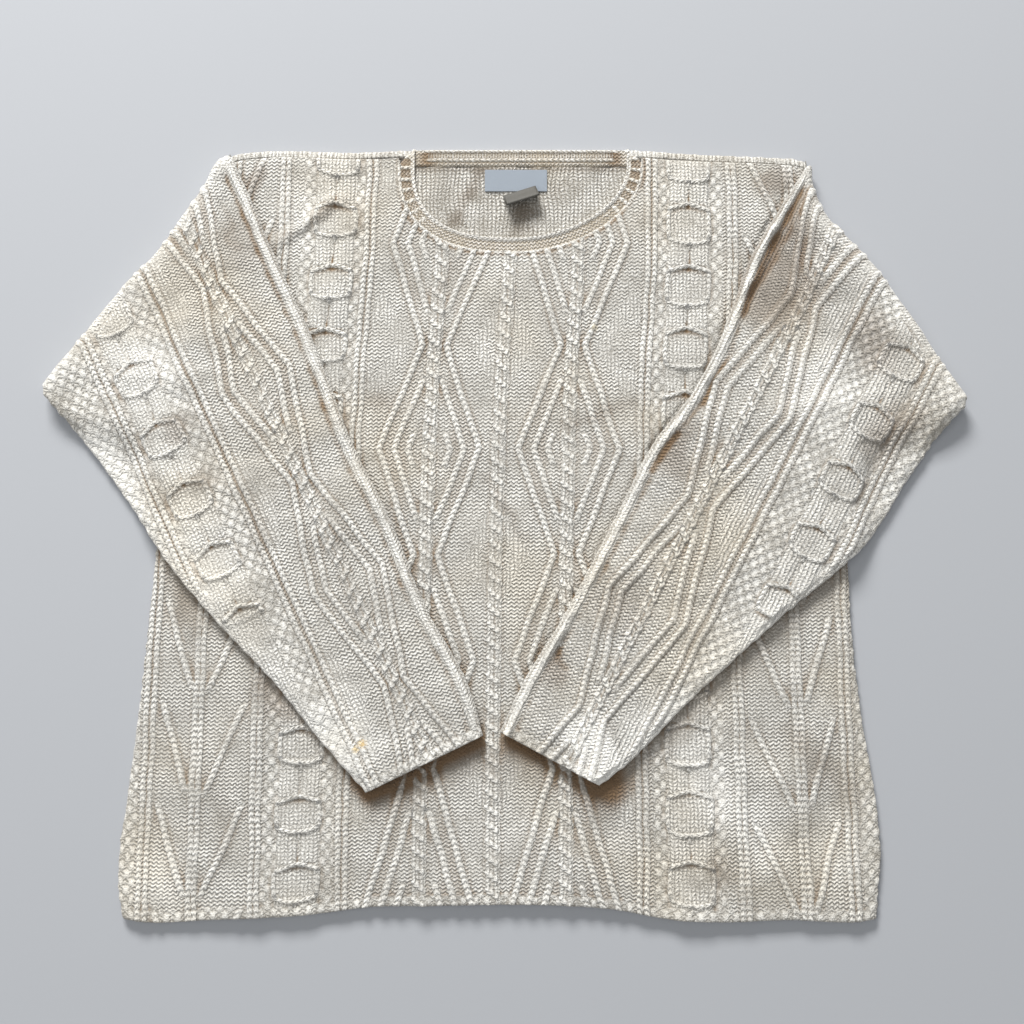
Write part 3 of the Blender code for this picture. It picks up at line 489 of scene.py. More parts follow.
inside = np.minimum(back_x - left, right - back_x)
on_roll, flat = back_over > 0, back_over == 0
LIP, LIP_ROUND = FRONT_Z + WALL, 3.2
lip_turn = quarter(SHOULDER_ROLL - back_over, LIP_ROUND) * LIP
top = np.where(on_roll, LIP - 0.5 * lip_turn, WALL)
bottom = np.maximum(ROLL_DROP * quarter(inside, ROLL), np.where(on_roll, 0.42 * lip_turn, 0.0))
place_y = bent(back_x, back_y, SHOULDER_ROLL) + back_over
at_neck = (back_x > NECK_SPAN[0]) & (back_x < NECK_SPAN[1]) & (place_y > NECK_EDGE)
place_y = np.where(at_neck, NECK_EDGE, place_y)
top, bottom = np.where(at_neck, WALL, top), np.where(at_neck, 0.0, bottom)
gathers = 0.5 * unevenness(back_x, place_y * 0.25, 26, 5) * ease((back_y - 200) / 40) * flat
place_y = place_y + 0.5 * unevenness(back_x, back_x * 0, 8, 15) * back_over / SHOULDER_ROLL * ~at_neck
upper = np.stack([back_x, place_y, top + np.clip(gathers, -0.4, 0.5)], -1)
lower = np.stack([back_x, place_y, bottom], -1)
for edge in (0, -1):
    upper[:, edge] = lower[:, edge] = (upper[:, edge] + lower[:, edge]) / 2
back_chart = blank_chart(back_x.shape)
add_area(back_chart, "knit", np.ones(back_x.shape))
# Painted shade over the flat inner side and painted light on the shoulder rolls; then painted shade in
# random patches, the tag's painted shadow, and painted shade under the neckband's bar.
back_chart["shade"] += 0.15 * flat - 0.8 * on_roll
back_chart["tone"] += 0.9 * np.maximum(unevenness(back_x, place_y, 38, 9) - 0.4, 0.0) * flat
back_chart["tone"] += bell(back_x - 11 + (273 - place_y) * 0.1, 8) * bell(place_y - 273, 12)
back_chart["tone"] += 0.7 * ease((place_y - 305) / 7) * flat
wavy_x = back_x + 1.6 * unevenness(back_x, place_y, 42, 6)
back = grid_piece("back_panel", all_round(upper, lower))
dress(back, all_round(wavy_x, wavy_x) / INNER_WALE, all_round(back_y, back_y) / COURSE,
      {key: all_round(value, value) for key, value in back_chart.items()})
close_up(back)
back.data.materials.append(wool("ivory wool, inner side", WOOL_LIGHT, INNER_DARK, stray=0.3))
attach(back, "root")
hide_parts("back")

# ---------------------------------------------------------------- front panel
# The patterned layer: three ropes between diamonds of travelling stitches, a ring cable and a
# tree panel on each side, ribs between them, on a purl ground with seed stitch at its edges.

# Down the middle, (y, x) of the middle rope.
AXIS = ((-320, -10), (-164, -9.5), (26, -6), (136, -2), (221, 4), (300, 6))
ROPE_HALF, ROPE_TURN, SIDE_ROPE = 5.2, 14.0, 59.5
MIDDLE_START, SIDE_START = 10.0, 18.0         # y of a crossing in the middle and the side ropes
ROPE_LEAN, ROPE_LINE_HALF = (0.81, 0.58), 2.5             # cosine and sine of a crossing's lean
NARROW, WIDE, NARROW_Y, DIAMOND = 10.5, 43.0, 148.0, 180.0
HEM_STRETCH = 0.78                            # the lowest diamond is drawn out down to the hem
NEST, THIRD = 13.0, 25.0                      # insets of the nested diamonds
LOZENGE = (22, 38)                            # half width and height of a knit lozenge
LINE_HALF, RIB_LINE, BRANCH_LINE = 2.7, 2.3, 2.7          # half widths of their strands
RING_PITCH, RING_HALF, RING_SAG = 55.6, 17.0, 3.6
RING_LINE, RING_SIDE, RING_TAIL = 1.7, 1.9, 1.6           # half widths of a ring's strands
RING_TALL = {-1: 29.0, 1: 35.0}
RING_FOOT = {-1: 301.0, 1: 295.5}
RIBS = {                 # distance from the middle rope at the hem and at the shoulder
    -1: {"inner a": (119.5, 120.0), "inner b": (125.5, 126.0), "ring": (159.0, 153.0),
         "outer a": (190.5, 196.0), "outer b": (195.8, 201.3), "tree a": (241.5, 240.0),
         "tree b": (246.5, 245.0), "edge a": (281.0, 280.0), "edge b": (287.0, 286.0)},
    1: {"inner a": (119.5, 120.0), "inner b": (125.5, 126.0), "ring": (162.0, 155.0),
        "outer a": (203.0, 190.0), "outer b": (208.3, 195.3), "tree a": (252.5, 240.0),
        "tree b": (257.5, 245.0), "edge a": (291.0, 280.0), "edge b": (297.0, 286.0)},
}
BRANCH_PITCH, BRANCH_RUN = 83.0, 82.0         # height from branch to branch, and of one branch
EDGING = 9                                    # height of the seed stitch at the hem and cuffs
BRANCH_TOP = {-1: -150.0, 1: -163.0}
FRONT_FOLDS = (
    # x0, y0, x1, y1, width, height
    (-208, 236, -142, 285, 10, 3.4),
    (232, -232, 214, -300, 20, 1.6),
    (-60, -250, -95, -312, 24, 1.3),
    (92, -262, 118, -318, 22, 1.4),
    (268, -150, 250, -205, 18, 1.5),
    (170, -178, 248, -258, 22, 2.2),
    (-22, 46, 22, -18, 7, 0.8),
)
CUFF_SHADE = {
    # along the cuff from its inner end, and how deep its shadow is there
    -1: ((2, 13, 62, 98, 112, 124), (0, 1.25, 1.1, 1.35, 1.1, 0)),
    1: ((5, 16, 42, 58, 78, 96, 110, 128), (0, 1.1, 1.0, 0.6, 0.7, 1.45, 1.2, 0)),
}
# Broad patches of painted light and shade on the front.
FRONT_PAINTED_SHADING = (
    # x0, y0, x1, y1, width, strength of the painted shade, painted light where below 0
    (-230, 304, -209, 294, 26, 1.2),
    (229, 310, 243, 286, 28, 1.2),
    (-205, 287, -165, 264, 30, -1.0),
    (-206, 244, -134, 282, 13, 0.7),
    (-118, 106, -92, 98, 22, 0.8),
    (-66, 189, -31, 237, 12, 0.6),
    (-22, 42, 22, -24, 9, 0.7),
    (38, 75, 117, 103, 11, 0.6),
    (-276, -45, -261, -105, 18, 0.8),
    (-200, -125, -176, -168, 38, 0.9),
    (-300, -306, -262, -280, 42, -1.5),
    (-235, -215, -225, -290, 20, 0.4),
    (145, -190, 228, -286, 30, -1.4),
    (227, -168, 294, -238, 24, 0.7),
    (160, -283, 192, -292, 26, 0.7),
    (260, -258, 288, -288, 38, -1.2),
    (-70, -262, 70, -262, 50, -0.5),
    (-40, 245, 60, 240, 30, -0.4),
)
# The neckband's free edge, and its width. Its two halves are parts of ovals of these powers.
NECK_X, NECK_Y, NECK_DEPTH, BAND = 8.0, 313.5, 66.5, 15.0
NECK_HALF = {-1: 88.0, 1: 99.5}
NECK_POWER = {-1: 2.6, 1: 1.9}
# A folded sleeve's own frame: s runs out from its inner edge, b up along it. (b, s) of its edges.
ARM_ORIGIN, ARM_TURN = {-1: (-216.0, 246.0), 1: (221.0, 256.0)}, {-1: 25.6, 1: -28.0}
ARM_INNER = {
    -1: ((-480, 7), (-433, -1), (-359, 3), (-267, -1), (-209, 1), (-139, -4), (-77, -7),
         (-13, -7.5), (40, -10), (80, -11)),
    1: ((-495, 5), (-441, 3), (-376, 7), (-279, 7), (-212, 7), (-160, 16), (-120, 17), (-68, 11),
        (-26, 6.5), (19, 7.5), (49, 9), (65, 10.5), (85, 13)),
}
ARM_OUTER = {
    -1: ((-480, 108), (-428, 124), (-352, 144), (-285, 167), (-234, 181), (-174, 192),
         (-125, 202), (-80, 213), (-40, 224)),
    1: ((-495, 94), (-456, 111), (-402, 128), (-338, 151), (-289, 170), (-243, 190), (-206, 204),
        (-136, 213), (-75, 223), (-40, 236)),
}
CUFF_B = {-1: -470.0, 1: -488.0}


def folds(table, x, y):
    """Height of the soft folds of a table at x, y."""
    lift, x, y = 0.0, x + 3 * unevenness(x, y, 30, 41), y + 3 * unevenness(x, y, 30, 42)
    for x0, y0, x1, y1, width, height in table:
        along = np.clip(((x - x0) * (x1 - x0) + (y - y0) * (y1 - y0))
                        / ((x1 - x0) ** 2 + (y1 - y0) ** 2), 0.0, 1.0)
        away = np.hypot(x - x0 - along * (x1 - x0), y - y0 - along * (y1 - y0))
        lift = lift + height * np.clip(4 * along * (1 - along), 0.0, 1.0) ** 0.5 * ease(1 - away / width)
    return lift


def cloth_waves(x, y, size, seeds):
    """Height of loosely lying cloth: broad waves of this size and small ones on them."""
    return 1.1 * (1 + unevenness(x, y, size, seeds[0])) + 0.45 * unevenness(x, y, 26, seeds[1])


def zigzag(place, start, period):
    """0 at start and every period from it, 1 half way between."""
    return 1 - abs(2 * ((place - start) / period % 1.0) - 1)


def lay_strand(chart, offset, along, half, height):
    """Lays one column of knit stitches where it stands highest. offset is from its middle."""
    across = offset / half
    dome = height * np.clip(1 - across ** 2, 0.0, 1.0) ** 0.7
    tent = np.clip(np.where(height > 0.3, 1 - abs(across), -1.0), -1.0, 1.0)
    nearer = (dome > chart["height"]) | ((dome <= 0) & (tent > chart["strand"]))
    for key, value in (("height", dome), ("strand", tent), ("across", across), ("along", along)):
        chart[key] = np.where(nearer, value, chart[key])


def lay_rope(chart, offset, y, half, height, start):
    """Two low knit columns, with a short strand from the upper left over both each ROPE_TURN."""
    column = 0.35 * height * ease((half + 0.8 - abs(offset)) / 1.6)
    chart["ground"] = np.maximum(chart["ground"], column - 0.35 * bell(offset, 0.9))
    add_area(chart, "knit", (half + 0.6 - abs(offset)) / 2)
    up = ((y - start) / ROPE_TURN % 1.0 - 0.5) * ROPE_TURN
    cosine, sine = ROPE_LEAN
    run = (offset * sine - up * cosine) / (half * 1.5)
    away = offset * cosine + up * sine - 0.6 * half * run * (1 - run ** 2)
    top = 0.75 * height * np.clip(1.15 - run ** 2, 0.0, 1.0) ** 0.5 * (abs(run) < 1.07)
    lay_strand(chart, away, run * half * 1.5 / COURSE, ROPE_LINE_HALF, top)
    chart["shade"] += 0.2 * bell(abs(away) - 3.1, 1.1) * bell(run, 0.7)


def lay_ring_cable(chart, offset, y, foot, pitch, half, sag, tall, deep):
    """Knit rings: two bundles part at a ring's foot, curve round it and meet again at its head."""
    q = offset / half
    add_area(chart, "knit", (1.1 - abs(q)) * 6)
    turn = (y - foot) % pitch
    up = turn / tall
    wide = np.clip(1 - q ** 2, 0.0, 1.0)
    between = abs(np.sin(math.pi * q)) ** 0.7 * wide ** 0.3
    bulge = np.where(up < 1, wide * (0.8 - 1.1 * ease(up)), between)
    level = ease((1.1 - abs(q)) * 5) * (0.35 * RELIEF + bulge)
    beyond = turn - tall
    slit = bell(offset, 0.9) * ease((beyond + 2.5) / 2) * ease((pitch - tall - beyond - 2) / 3)
    slit = slit * (1 - 0.75 * ease(beyond / 16))
    nook = bell(offset, 1.8) * bell(beyond + 2.0, 2.4)
    chart["ground"] = np.maximum(chart["ground"], level) - deep * (0.8 * slit + 0.5 * nook)
    inside = (abs(q) < 0.95) * ease(up * 2 - 0.3) * (up < 1)
    lens = bell(beyond + 2.4 + 4.0 * q ** 2, 1.3) * (abs(q) < 0.8)
    chart["shade"] += deep * (0.25 * inside + 0.15 * lens + 0.15 * slit + 0.1 * nook)
    for base, bend, power in ((0.0, sag, 2.2), (pitch, sag, 2.2), (tall, -1.4 * sag, 1.3)):
        curve = base + bend * np.clip(abs(q), 0, 1.1) ** power
        slope = power * bend * q * abs(q) ** (power - 1.8) / half
        slant = np.sqrt(1 + slope ** 2) if power > 2 else 1.1
        height = np.where(abs(q) < 1.08, RELIEF * (1.05 - 0.2 * q ** 2), 0.0)
        lay_strand(chart, (turn - curve) / slant, offset / COURSE, RING_LINE, height)
        chart["shade"] -= 0.2 * bell(turn - curve, 1.3) * (height > 0)
    tail = RELIEF * ease((turn - pitch + 7) / 4) * (turn < pitch)
    lay_strand(chart, offset, y / COURSE, RING_TAIL, tail)
    sides = 0.85 * RELIEF * ease(8 * (up - 0.08)) * ease(8 * (0.86 - up))
    bowed = half * (0.98 + 0.06 * (1 - (2 * up - 1) ** 2))
    lay_strand(chart, abs(offset) - bowed, y / COURSE, RING_SIDE, sides)


def lay_rings(chart, near, offset, y, deep, *sizes):
    """Lays a ring cable on the points of a chart that are near it."""
    ring = {key: value[near] for key, value in chart.items()}
    lay_ring_cable(ring, offset[near], y[near], *sizes, deep[near])
    for key in chart:
        chart[key][near] = ring[key]


def diamond(y, narrow, wide, start, period):
    """How far a diamond's strands are from its middle at y, and their length for each step up."""
    away = narrow + (wide - narrow) * zigzag(y, start, period)
    return away, math.sqrt(1 + (2 * (wide - narrow) / period) ** 2)


def lay_diamonds(chart, beside, y, away, steep, lines):
    """Lays the travelling strands of nested diamonds: lines gives each one's inset and height."""
    for lean in (-1, 1):
        for inset, height in lines:
            lay_strand(chart, (beside - lean * (away - inset)) / steep, y / COURSE, LINE_HALF, height)


def front_chart(x, y):
    """Chart of the front: every strand, rib and area, at x and row y."""
    chart = blank_chart(x.shape)
    x, y = x + 0.7 * unevenness(x, y, 45, 3), y + 0.7 * unevenness(x, y, 45, 4)
    signed = x - smooth(AXIS, y)
    up = (y - HEM_Y) / (SEAM_Y - HEM_Y)
    lowest = NARROW_Y - 2 * DIAMOND
    longer = np.where(y < lowest, lowest + (y - lowest) * HEM_STRETCH, y)
    away, steep = diamond(longer, NARROW, WIDE, NARROW_Y, DIAMOND)
    v = y / COURSE
    lay_rope(chart, signed, y, ROPE_HALF, RELIEF, MIDDLE_START)
    for side in (-1, 1):
        out = signed * side
        place = {name: hem + (top - hem) * up for name, (hem, top) in RIBS[side].items()}
        lay_rope(chart, signed - side * SIDE_ROPE, y, ROPE_HALF, RELIEF, SIDE_START)
        nested = RELIEF * 0.8 * ease((away - NARROW - 8) / 6)
        third = RELIEF * 0.7 * ease((away - WIDE + 6) / 2)
        lay_diamonds(chart, out - SIDE_ROPE, y, away, steep,
                     ((0.0, RELIEF * 0.9), (NEST, nested), (THIRD, third)))
        for name, middle in place.items():
            if name != "ring":
                lay_strand(chart, out - middle, v, RIB_LINE, np.full(x.shape, RELIEF * 0.7))
        for start, end, lag in ((place["outer b"] + 6, place["tree a"] - 3, 0.0),
                                (place["edge a"] - 6, place["tree b"] + 3, -2.0)):
            t = (BRANCH_TOP[side] - y - lag) / BRANCH_PITCH % 1.0 * BRANCH_PITCH / BRANCH_RUN
            centre = start + (end - start) * np.clip(t, 0.0, 1.0)
            tilt = np.sqrt(1 + ((end - start) / BRANCH_RUN) ** 2)
            shown = RELIEF * 0.85 * ease(6 * np.minimum(t, 1 - t))
            lay_strand(chart, (out - centre) / tilt, v, BRANCH_LINE, shown)
        off = out - place["ring"]
        lower = 5.0 * ease((-60 - y) / 120) * (side < 0)
        deep = 0.35 + 0.65 * ease((y + 150) / 300)
        lay_rings(chart, abs(off) < RING_HALF + 6, off, y + lower, deep,
                  RING_FOOT[side], RING_PITCH, RING_HALF, RING_SAG, RING_TALL[side])
        add_area(chart, "seed", (6.0 - abs(abs(off) - RING_HALF - 6.5)) / 3)
        add_area(chart, "seed", (out - place["edge b"] - 4) / 3)
        for lozenge in np.arange(NARROW_Y - 4 * DIAMOND, 400, DIAMOND):
            for middle, reach in ((0.0, 90.0), (108.0, 116.0)):
                ring_shape = abs(out - middle) / LOZENGE[0] + abs(y - lozenge) / LOZENGE[1]
                add_area(chart, "knit", np.where(out < reach, 0.28 - abs(ring_shape - 1), -1.0) * 4)
    add_area(chart, "seed", (HEM_Y + EDGING - y) / 3)
    chart["ground"] += 0.5 * ease((HEM_Y + EDGING - y) / 2)
    return chart


def arm_plan(side, s, b):
    """Place of s, b on the surface, in a folded sleeve's own frame."""
    turn = math.radians(ARM_TURN[side])
    x0, y0 = ARM_ORIGIN[side]
    return (x0 + side * math.cos(turn) * s - math.sin(turn) * b,
            y0 + side * math.sin(turn) * s + math.cos(turn) * b)


def arm_frame(side, x, y):
    """s and b of a folded sleeve's own frame, for a place on the surface."""
    turn = math.radians(ARM_TURN[side])
    dx, dy = x - ARM_ORIGIN[side][0], y - ARM_ORIGIN[side][1]
    return side * (dx * math.cos(turn) + dy * math.sin(turn)), dy * math.cos(turn) - dx * math.sin(turn)


def under_sleeve(x, y, margin):
    """Whether a folded sleeve covers this place by at least margin."""
    covered = np.zeros(x.shape, bool)
    for side in (-1, 1):
        s, b = arm_frame(side, x, y)
        covered |= ((s > smooth(ARM_INNER[side], b) + margin) & (s < smooth(ARM_OUTER[side], b) - margin)
                    & (b > CUFF_B[side] + margin))
    return covered


def neck_edge(turn, out):
    """Points of the front half of the neckband, out from its free edge."""
    def free(angle):
        side = np.where(np.cos(angle) > 0, 1, -1)
        half = np.where(side > 0, NECK_HALF[1], NECK_HALF[-1])
        power = 2 / np.where(side > 0, NECK_POWER[1], NECK_POWER[-1])
        return np.stack([NECK_X + side * half * abs(np.cos(angle)) ** power,
                         NECK_Y - NECK_DEPTH * abs(np.sin(angle)) ** power], -1)
    near = 0.02
    run = free(np.minimum(turn + near, 2 * math.pi)) - free(np.maximum(turn - near, math.pi))
    ends = (turn - math.pi < near) | (2 * math.pi - turn < near)
    upright = np.stack([0 * turn, np.where(turn < 1.5 * math.pi, -1.0, 1.0)], -1)
    run = np.where(ends[..., None], upright, run)
    run /= np.linalg.norm(run, axis=-1, keepdims=True)
    return free(turn) + out * np.stack([run[..., 1], -run[..., 0]], -1)


MESH = 1.72                                   # between the panel's rows and columns
WELL_UNDER, THINNED = 14.0, 0.85              # inside a sleeve's edge, and share of faces saved there
HEM_ROUND, TOP_ROUND = (0.9, 2.5), (0.5, 2.0)             # fall and width of the edge's turn
SHADE_MARGINS = (-1.5, -3.0, -5.0, -8.0)      # past a sleeve's edge, where its shade grows
rows = np.concatenate([[HEM_Y, HEM_Y, HEM_Y + 0.5, HEM_Y + 1.2], np.arange(HEM_Y + 2.5, SEAM_Y - 3, MESH),
                       [SEAM_Y - 2.2, SEAM_Y - 1.0, SEAM_Y - 0.3, SEAM_Y, SEAM_Y]])
count = int(600 / MESH)
inner = (np.arange(count) + 0.5) / count
share = np.concatenate([[0.0, 0.0, 0.0007, 0.0016], 0.0028 + inner * (1 - 0.0056),
                        [0.9984, 0.9993, 1.0, 1.0]])
front_y = np.repeat(rows[:, None], len(share), 1)
left, right = side_x(-1, front_y), side_x(1, front_y)
front_x = left + (right - left) * share
inside = np.minimum(front_x - left, right - front_x)
chart = front_chart(front_x, front_y)
place_y = bent(front_x, front_y, SHOULDER_ROLL + GAP)
for margin in SHADE_MARGINS:
    chart["shade"] += 0.1 * under_sleeve(front_x, place_y, margin)
for side in (-1, 1):
    s, b = arm_frame(side, front_x, place_y)
    past = np.maximum(CUFF_B[side] - b, 0.0)
    shaded = np.interp(s, *CUFF_SHADE[side]) * ease((CUFF_B[side] + 32 - b) / 30)
    chart["tone"] += 1.1 * shaded * bell(past, 24)
    chart["shade"] += 1.15 * shaded * bell(past, 13)
chart["tone"] += folds(FRONT_PAINTED_SHADING, front_x, place_y)
right_half = front_x > NECK_X
neck_wide = np.where(right_half, NECK_HALF[1], NECK_HALF[-1]) + BAND
neck_power = np.where(right_half, NECK_POWER[1], NECK_POWER[-1])
below_neck = ((abs(front_x - NECK_X) / neck_wide) ** neck_power
              + (abs(NECK_Y - place_y) / (NECK_DEPTH + BAND)) ** neck_power)
below_neck = (below_neck ** (1 / neck_power) - 1) * NECK_HALF[-1]
chart["shade"] += 0.55 * bell(below_neck - 0.6, 1.6) * (below_neck > -1.5)
# Painted shadow on the front past each sleeve's outer edge, wider beside the right sleeve.
for side, reach, amount in ((-1, 20, 0.6), (1, 32, 0.9)):
    s, b = arm_frame(side, front_x, place_y)
    past_edge = s - smooth(ARM_OUTER[side], b)
    above_cuff = ease((b - CUFF_B[side] + 25) / 30)
    chart["tone"] += amount * ease(1 - past_edge / reach) * (past_edge > -6) * above_cuff
clear_of_sleeves = 1 - 0.7 * under_sleeve(front_x, place_y, -3.0)
at_edge = ease((inside - 1.0) / 4) * ease((SEAM_Y - front_y) / 4)
waves = cloth_waves(front_x, place_y, 80, (11, 12)) * ease(inside / 30) * clear_of_sleeves
rounded = (ROLL_DROP * quarter(inside, ROLL) + HEM_ROUND[0] * quarter(front_y - HEM_Y, HEM_ROUND[1])
           + TOP_ROUND[0] * quarter(SEAM_Y - front_y, TOP_ROUND[1]))
top_z = (FRONT_Z + WALL + folds(FRONT_FOLDS, front_x, place_y) + waves
         + (chart["height"] + chart["ground"]) * at_edge - rounded)
for edge in (np.s_[0], np.s_[-1], np.s_[:, 0], np.s_[:, -1]):
    top_z[edge] = FRONT_Z
front = grid_piece("front_panel", np.stack([front_x, place_y, top_z], -1))
dress(front, front_x / WALE, front_y / COURSE, chart)

# The neck is cut out under the neckband, the cloth under the sleeves gets fewer faces, and a
# plain inner side closes the panel.
turns = np.linspace(math.pi, 2 * math.pi, 181)
neck_cut = neck_edge(turns, BAND - 1.6)
neck_cut = np.concatenate([[[neck_cut[0, 0], 340.0]], neck_cut, [[neck_cut[-1, 0], 340.0]]])


def inside_loop(x, y, loop):
    """Whether each point lies inside a closed loop of points."""
    found = np.zeros(x.shape, bool)
    for (x0, y0), (x1, y1) in zip(loop, np.roll(loop, -1, 0)):
        crosses = (y0 > y) != (y1 > y)
        found ^= crosses & (x < (x1 - x0) * (y - y0) / (y1 - y0 + 1e-12) + x0)
    return found


def read_places(items, key):
    """Places of a mesh's vertices or faces, one row each, in metres."""
    flat = np.zeros(len(items) * 3, np.float32)
    items.foreach_get(key, flat)
    return flat.reshape(-1, 3)


def active_edit(piece, kind):
    """Makes a piece active for edits of one kind, with nothing selected on it."""
    pick(piece)
    bpy.ops.object.mode_set(mode="EDIT")
    bpy.ops.mesh.select_mode(type=kind)
    bpy.ops.mesh.select_all(action="DESELECT")
    bpy.ops.object.mode_set(mode="OBJECT")


active_edit(front, "FACE")
centres = read_places(front.data.polygons, "center") * 1000
front.data.polygons.foreach_set("select", inside_loop(centres[:, 0], centres[:, 1], neck_cut))
bpy.ops.object.mode_set(mode="EDIT")
bpy.ops.mesh.delete(type="FACE")
bpy.ops.object.mode_set(mode="OBJECT")

points = read_places(front.data.vertices, "co") * 1000
hidden = under_sleeve(points[:, 0], points[:, 1], WELL_UNDER)
covered = front.vertex_groups.new(name="covered")
covered.add(np.flatnonzero(hidden).tolist(), 1.0, "REPLACE")
thinner = front.modifiers.new("fewer faces where covered", "DECIMATE")
thinner.vertex_group = "covered"
thinner.ratio = 1.0 - THINNED * hidden.mean()
bpy.ops.object.modifier_apply(modifier=thinner.name)
front.vertex_groups.clear()

active_edit(front, "EDGE")
bpy.ops.object.mode_set(mode="EDIT")
bpy.ops.mesh.select_non_manifold(extend=False, use_wire=False, use_boundary=True,
                                 use_multi_face=False, use_non_contiguous=False, use_verts=False)
bpy.ops.mesh.extrude_edges_move()
bpy.ops.object.mode_set(mode="OBJECT")
picked = np.zeros(len(front.data.vertices), bool)
front.data.vertices.foreach_get("select", picked)
points = read_places(front.data.vertices, "co")
points[picked, 2] = (FRONT_Z - 0.02) * 0.001
front.data.vertices.foreach_set("co", points.ravel())
bpy.ops.object.mode_set(mode="EDIT")
bpy.ops.mesh.edge_face_add()
bpy.ops.mesh.quads_convert_to_tris(ngon_method="BEAUTY")
bpy.ops.object.mode_set(mode="OBJECT")
close_up(front)
front.data.materials.append(body_wool)
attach(front, "root")
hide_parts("front")

# ---------------------------------------------------------------- neckband
# Closed strip of 1 x 1 rib: half an oval in front, folded over at both corners, and a bar sewn
# along the back's neck edge, with its inner side up and both its edges rolled.

BAND_RIB, FINE_RIB = 10.2, 2.4                # pitch of the ribs in front, and inside the bar
BAND_RELIEF, BAND_RIM, BAND_WALE = 0.9, 0.5, 3.7
BAR_STEP, ROUND_STEP = 0.6, 0.95              # between the strip's rows, in the bar and in front
# Light on the ribs' tops, tan painted shade in their gaps.
BAND_LIGHT, BAND_DARK = (0.90, 0.875, 0.82, 1.0), (0.40, 0.35, 0.27, 1.0)
BAND_LEFT, BAND_RIGHT = NECK_X - NECK_HALF[-1] - BAND, NECK_X + NECK_HALF[1] + BAND
band_fold_z = (FRONT_Z + WALL) / 2
band_mean = FRONT_Z + WALL / 2 - band_fold_z
band_turns = np.linspace(math.pi, 2 * math.pi, 721)
band_arc = neck_edge(band_turns, BAND / 2)
band_lengths = np.concatenate([[0.0], np.cumsum(np.hypot(*np.diff(band_arc, axis=0).T))])
band_straight = (BAND_RIGHT - BAND_LEFT) / 2 + 1.0
band_total = band_lengths[-1] + 2 * band_straight


def band_place(length, across, height):
    """Point of the strip after both its ends are folded over at 45 degrees."""
    side = np.where(length < band_total / 2, -1, 1)
    from_end = np.minimum(length, band_total - length)
    turn = np.interp(length - band_straight, band_lengths, band_turns)
    arc = neck_edge(turn, (BAND - across)[..., None])
    round_part = from_end >= band_straight
    x = np.where(round_part, arc[..., 0], np.where(side < 0, BAND_LEFT + across, BAND_RIGHT - across))
    y = np.where(round_part, arc[..., 1], NECK_Y + band_straight - from_end)
    root = math.sqrt(0.5)
    shift = math.pi * band_mean / 2 * root
    corner_x = np.where(side < 0, BAND_LEFT, BAND_RIGHT) - side * shift
    corner_y = NECK_Y + 1.0 - shift
    out = ((x - corner_x) * side + (y - corner_y)) * root
    run = (-(x - corner_x) * side + (y - corner_y)) * root
    z = FRONT_Z + height
    radius = z - band_fold_z
    angle = np.clip(out / band_mean, 0.0, math.pi)
    z = np.where(out > 0, band_fold_z + radius * np.cos(angle), z)
    out = np.where(out > 0, radius * np.sin(angle) - np.maximum(out - math.pi * band_mean, 0.0), out)
    return np.stack([corner_x + side * (out - run) * root, corner_y + (out + run) * root, z], -1)


def closed(rows):
    """Rows of a tube, with the first row and the first column again at their ends."""
    rows = np.concatenate([rows, rows[:1]])
    return np.concatenate([rows, rows[:, :1]], 1)


flat_steps = np.linspace(1.0, BAND - 1, 15)
section = [(0.0, 0.9), (0.0, WALL - 0.8), (0.3, WALL - 0.3)]
section += [(across, WALL) for across in flat_steps]
section += [(BAND - 0.4, WALL + BAND_RIM), (BAND, WALL - 0.1), (BAND, 1.2), (BAND - 0.4, 0.2)]
section += [(across, 0.0) for across in flat_steps[::-1]]
section += [(0.4, 0.2)]
section_across, section_height = np.array(section).T
bar_end = band_straight - BAND - 11
band_steps = np.concatenate([np.arange(0.0, bar_end, BAR_STEP),
                             np.arange(bar_end, band_total - bar_end, ROUND_STEP),
                             np.arange(band_total - bar_end, band_total, BAR_STEP)])
band_count = len(band_steps)
band_length = np.repeat(band_steps[:, None], len(section), 1)
band_across = np.repeat(section_across[None], band_count, 0)
band_height = np.repeat(section_height[None], band_count, 0)
from_end = np.minimum(band_length, band_total - band_length)
past_fold = from_end - band_straight
in_bar = ease((-past_fold - BAND - 6) / 10)
upper_side = band_height > WALL / 2
facing = np.where(upper_side, 1 - in_bar, in_bar)
round_face, bar_face = facing * (1 - in_bar), facing * in_bar
at_sides = ease(1 - past_fold / 70)
at_fold, at_corner = bell(past_fold, 14), bell(past_fold + BAND + 9, 8)
between = ease((band_across - 2.2) / 1.2) * ease((BAND - 2.6 - band_across) / 1.0)

# Ribs run across the strip, broad ones in front and fine ones on the bar's inner side. Cords of
# stitches run along it: the bound free edge, the seam and the middle of the bar.
band_chart = blank_chart(band_length.shape)
beside_rib = ((band_length + BAND_RIB / 2) % BAND_RIB - BAND_RIB / 2
              + 0.5 * unevenness(band_length, band_across, 18, 51))
beside_fine = (band_length + FINE_RIB / 2) % FINE_RIB - FINE_RIB / 2
wavy_seam = band_across - 1.3 - 0.5 * np.sin(band_length * 2 * math.pi / 5.4)
rib_height = BAND_RELIEF * (0.2 + 1.1 * at_sides) * between * round_face
for beside, along, half, height in (
        (beside_rib, band_across / COURSE, 2.0, rib_height),
        (beside_fine, band_across / COURSE, 0.8, 0.55 * bar_face * (band_across > 6.6) * between),
        (band_across - BAND + 1.3, band_length / 3.0, 1.6, (1.1 - 1.2 * at_fold) * facing),
        (wavy_seam, band_length / 3.0, 1.3, round_face),
        (band_across - 5.5, band_length / 3.3, 2.0, 1.2 * bar_face)):
    lay_strand(band_chart, beside, along, half, height)
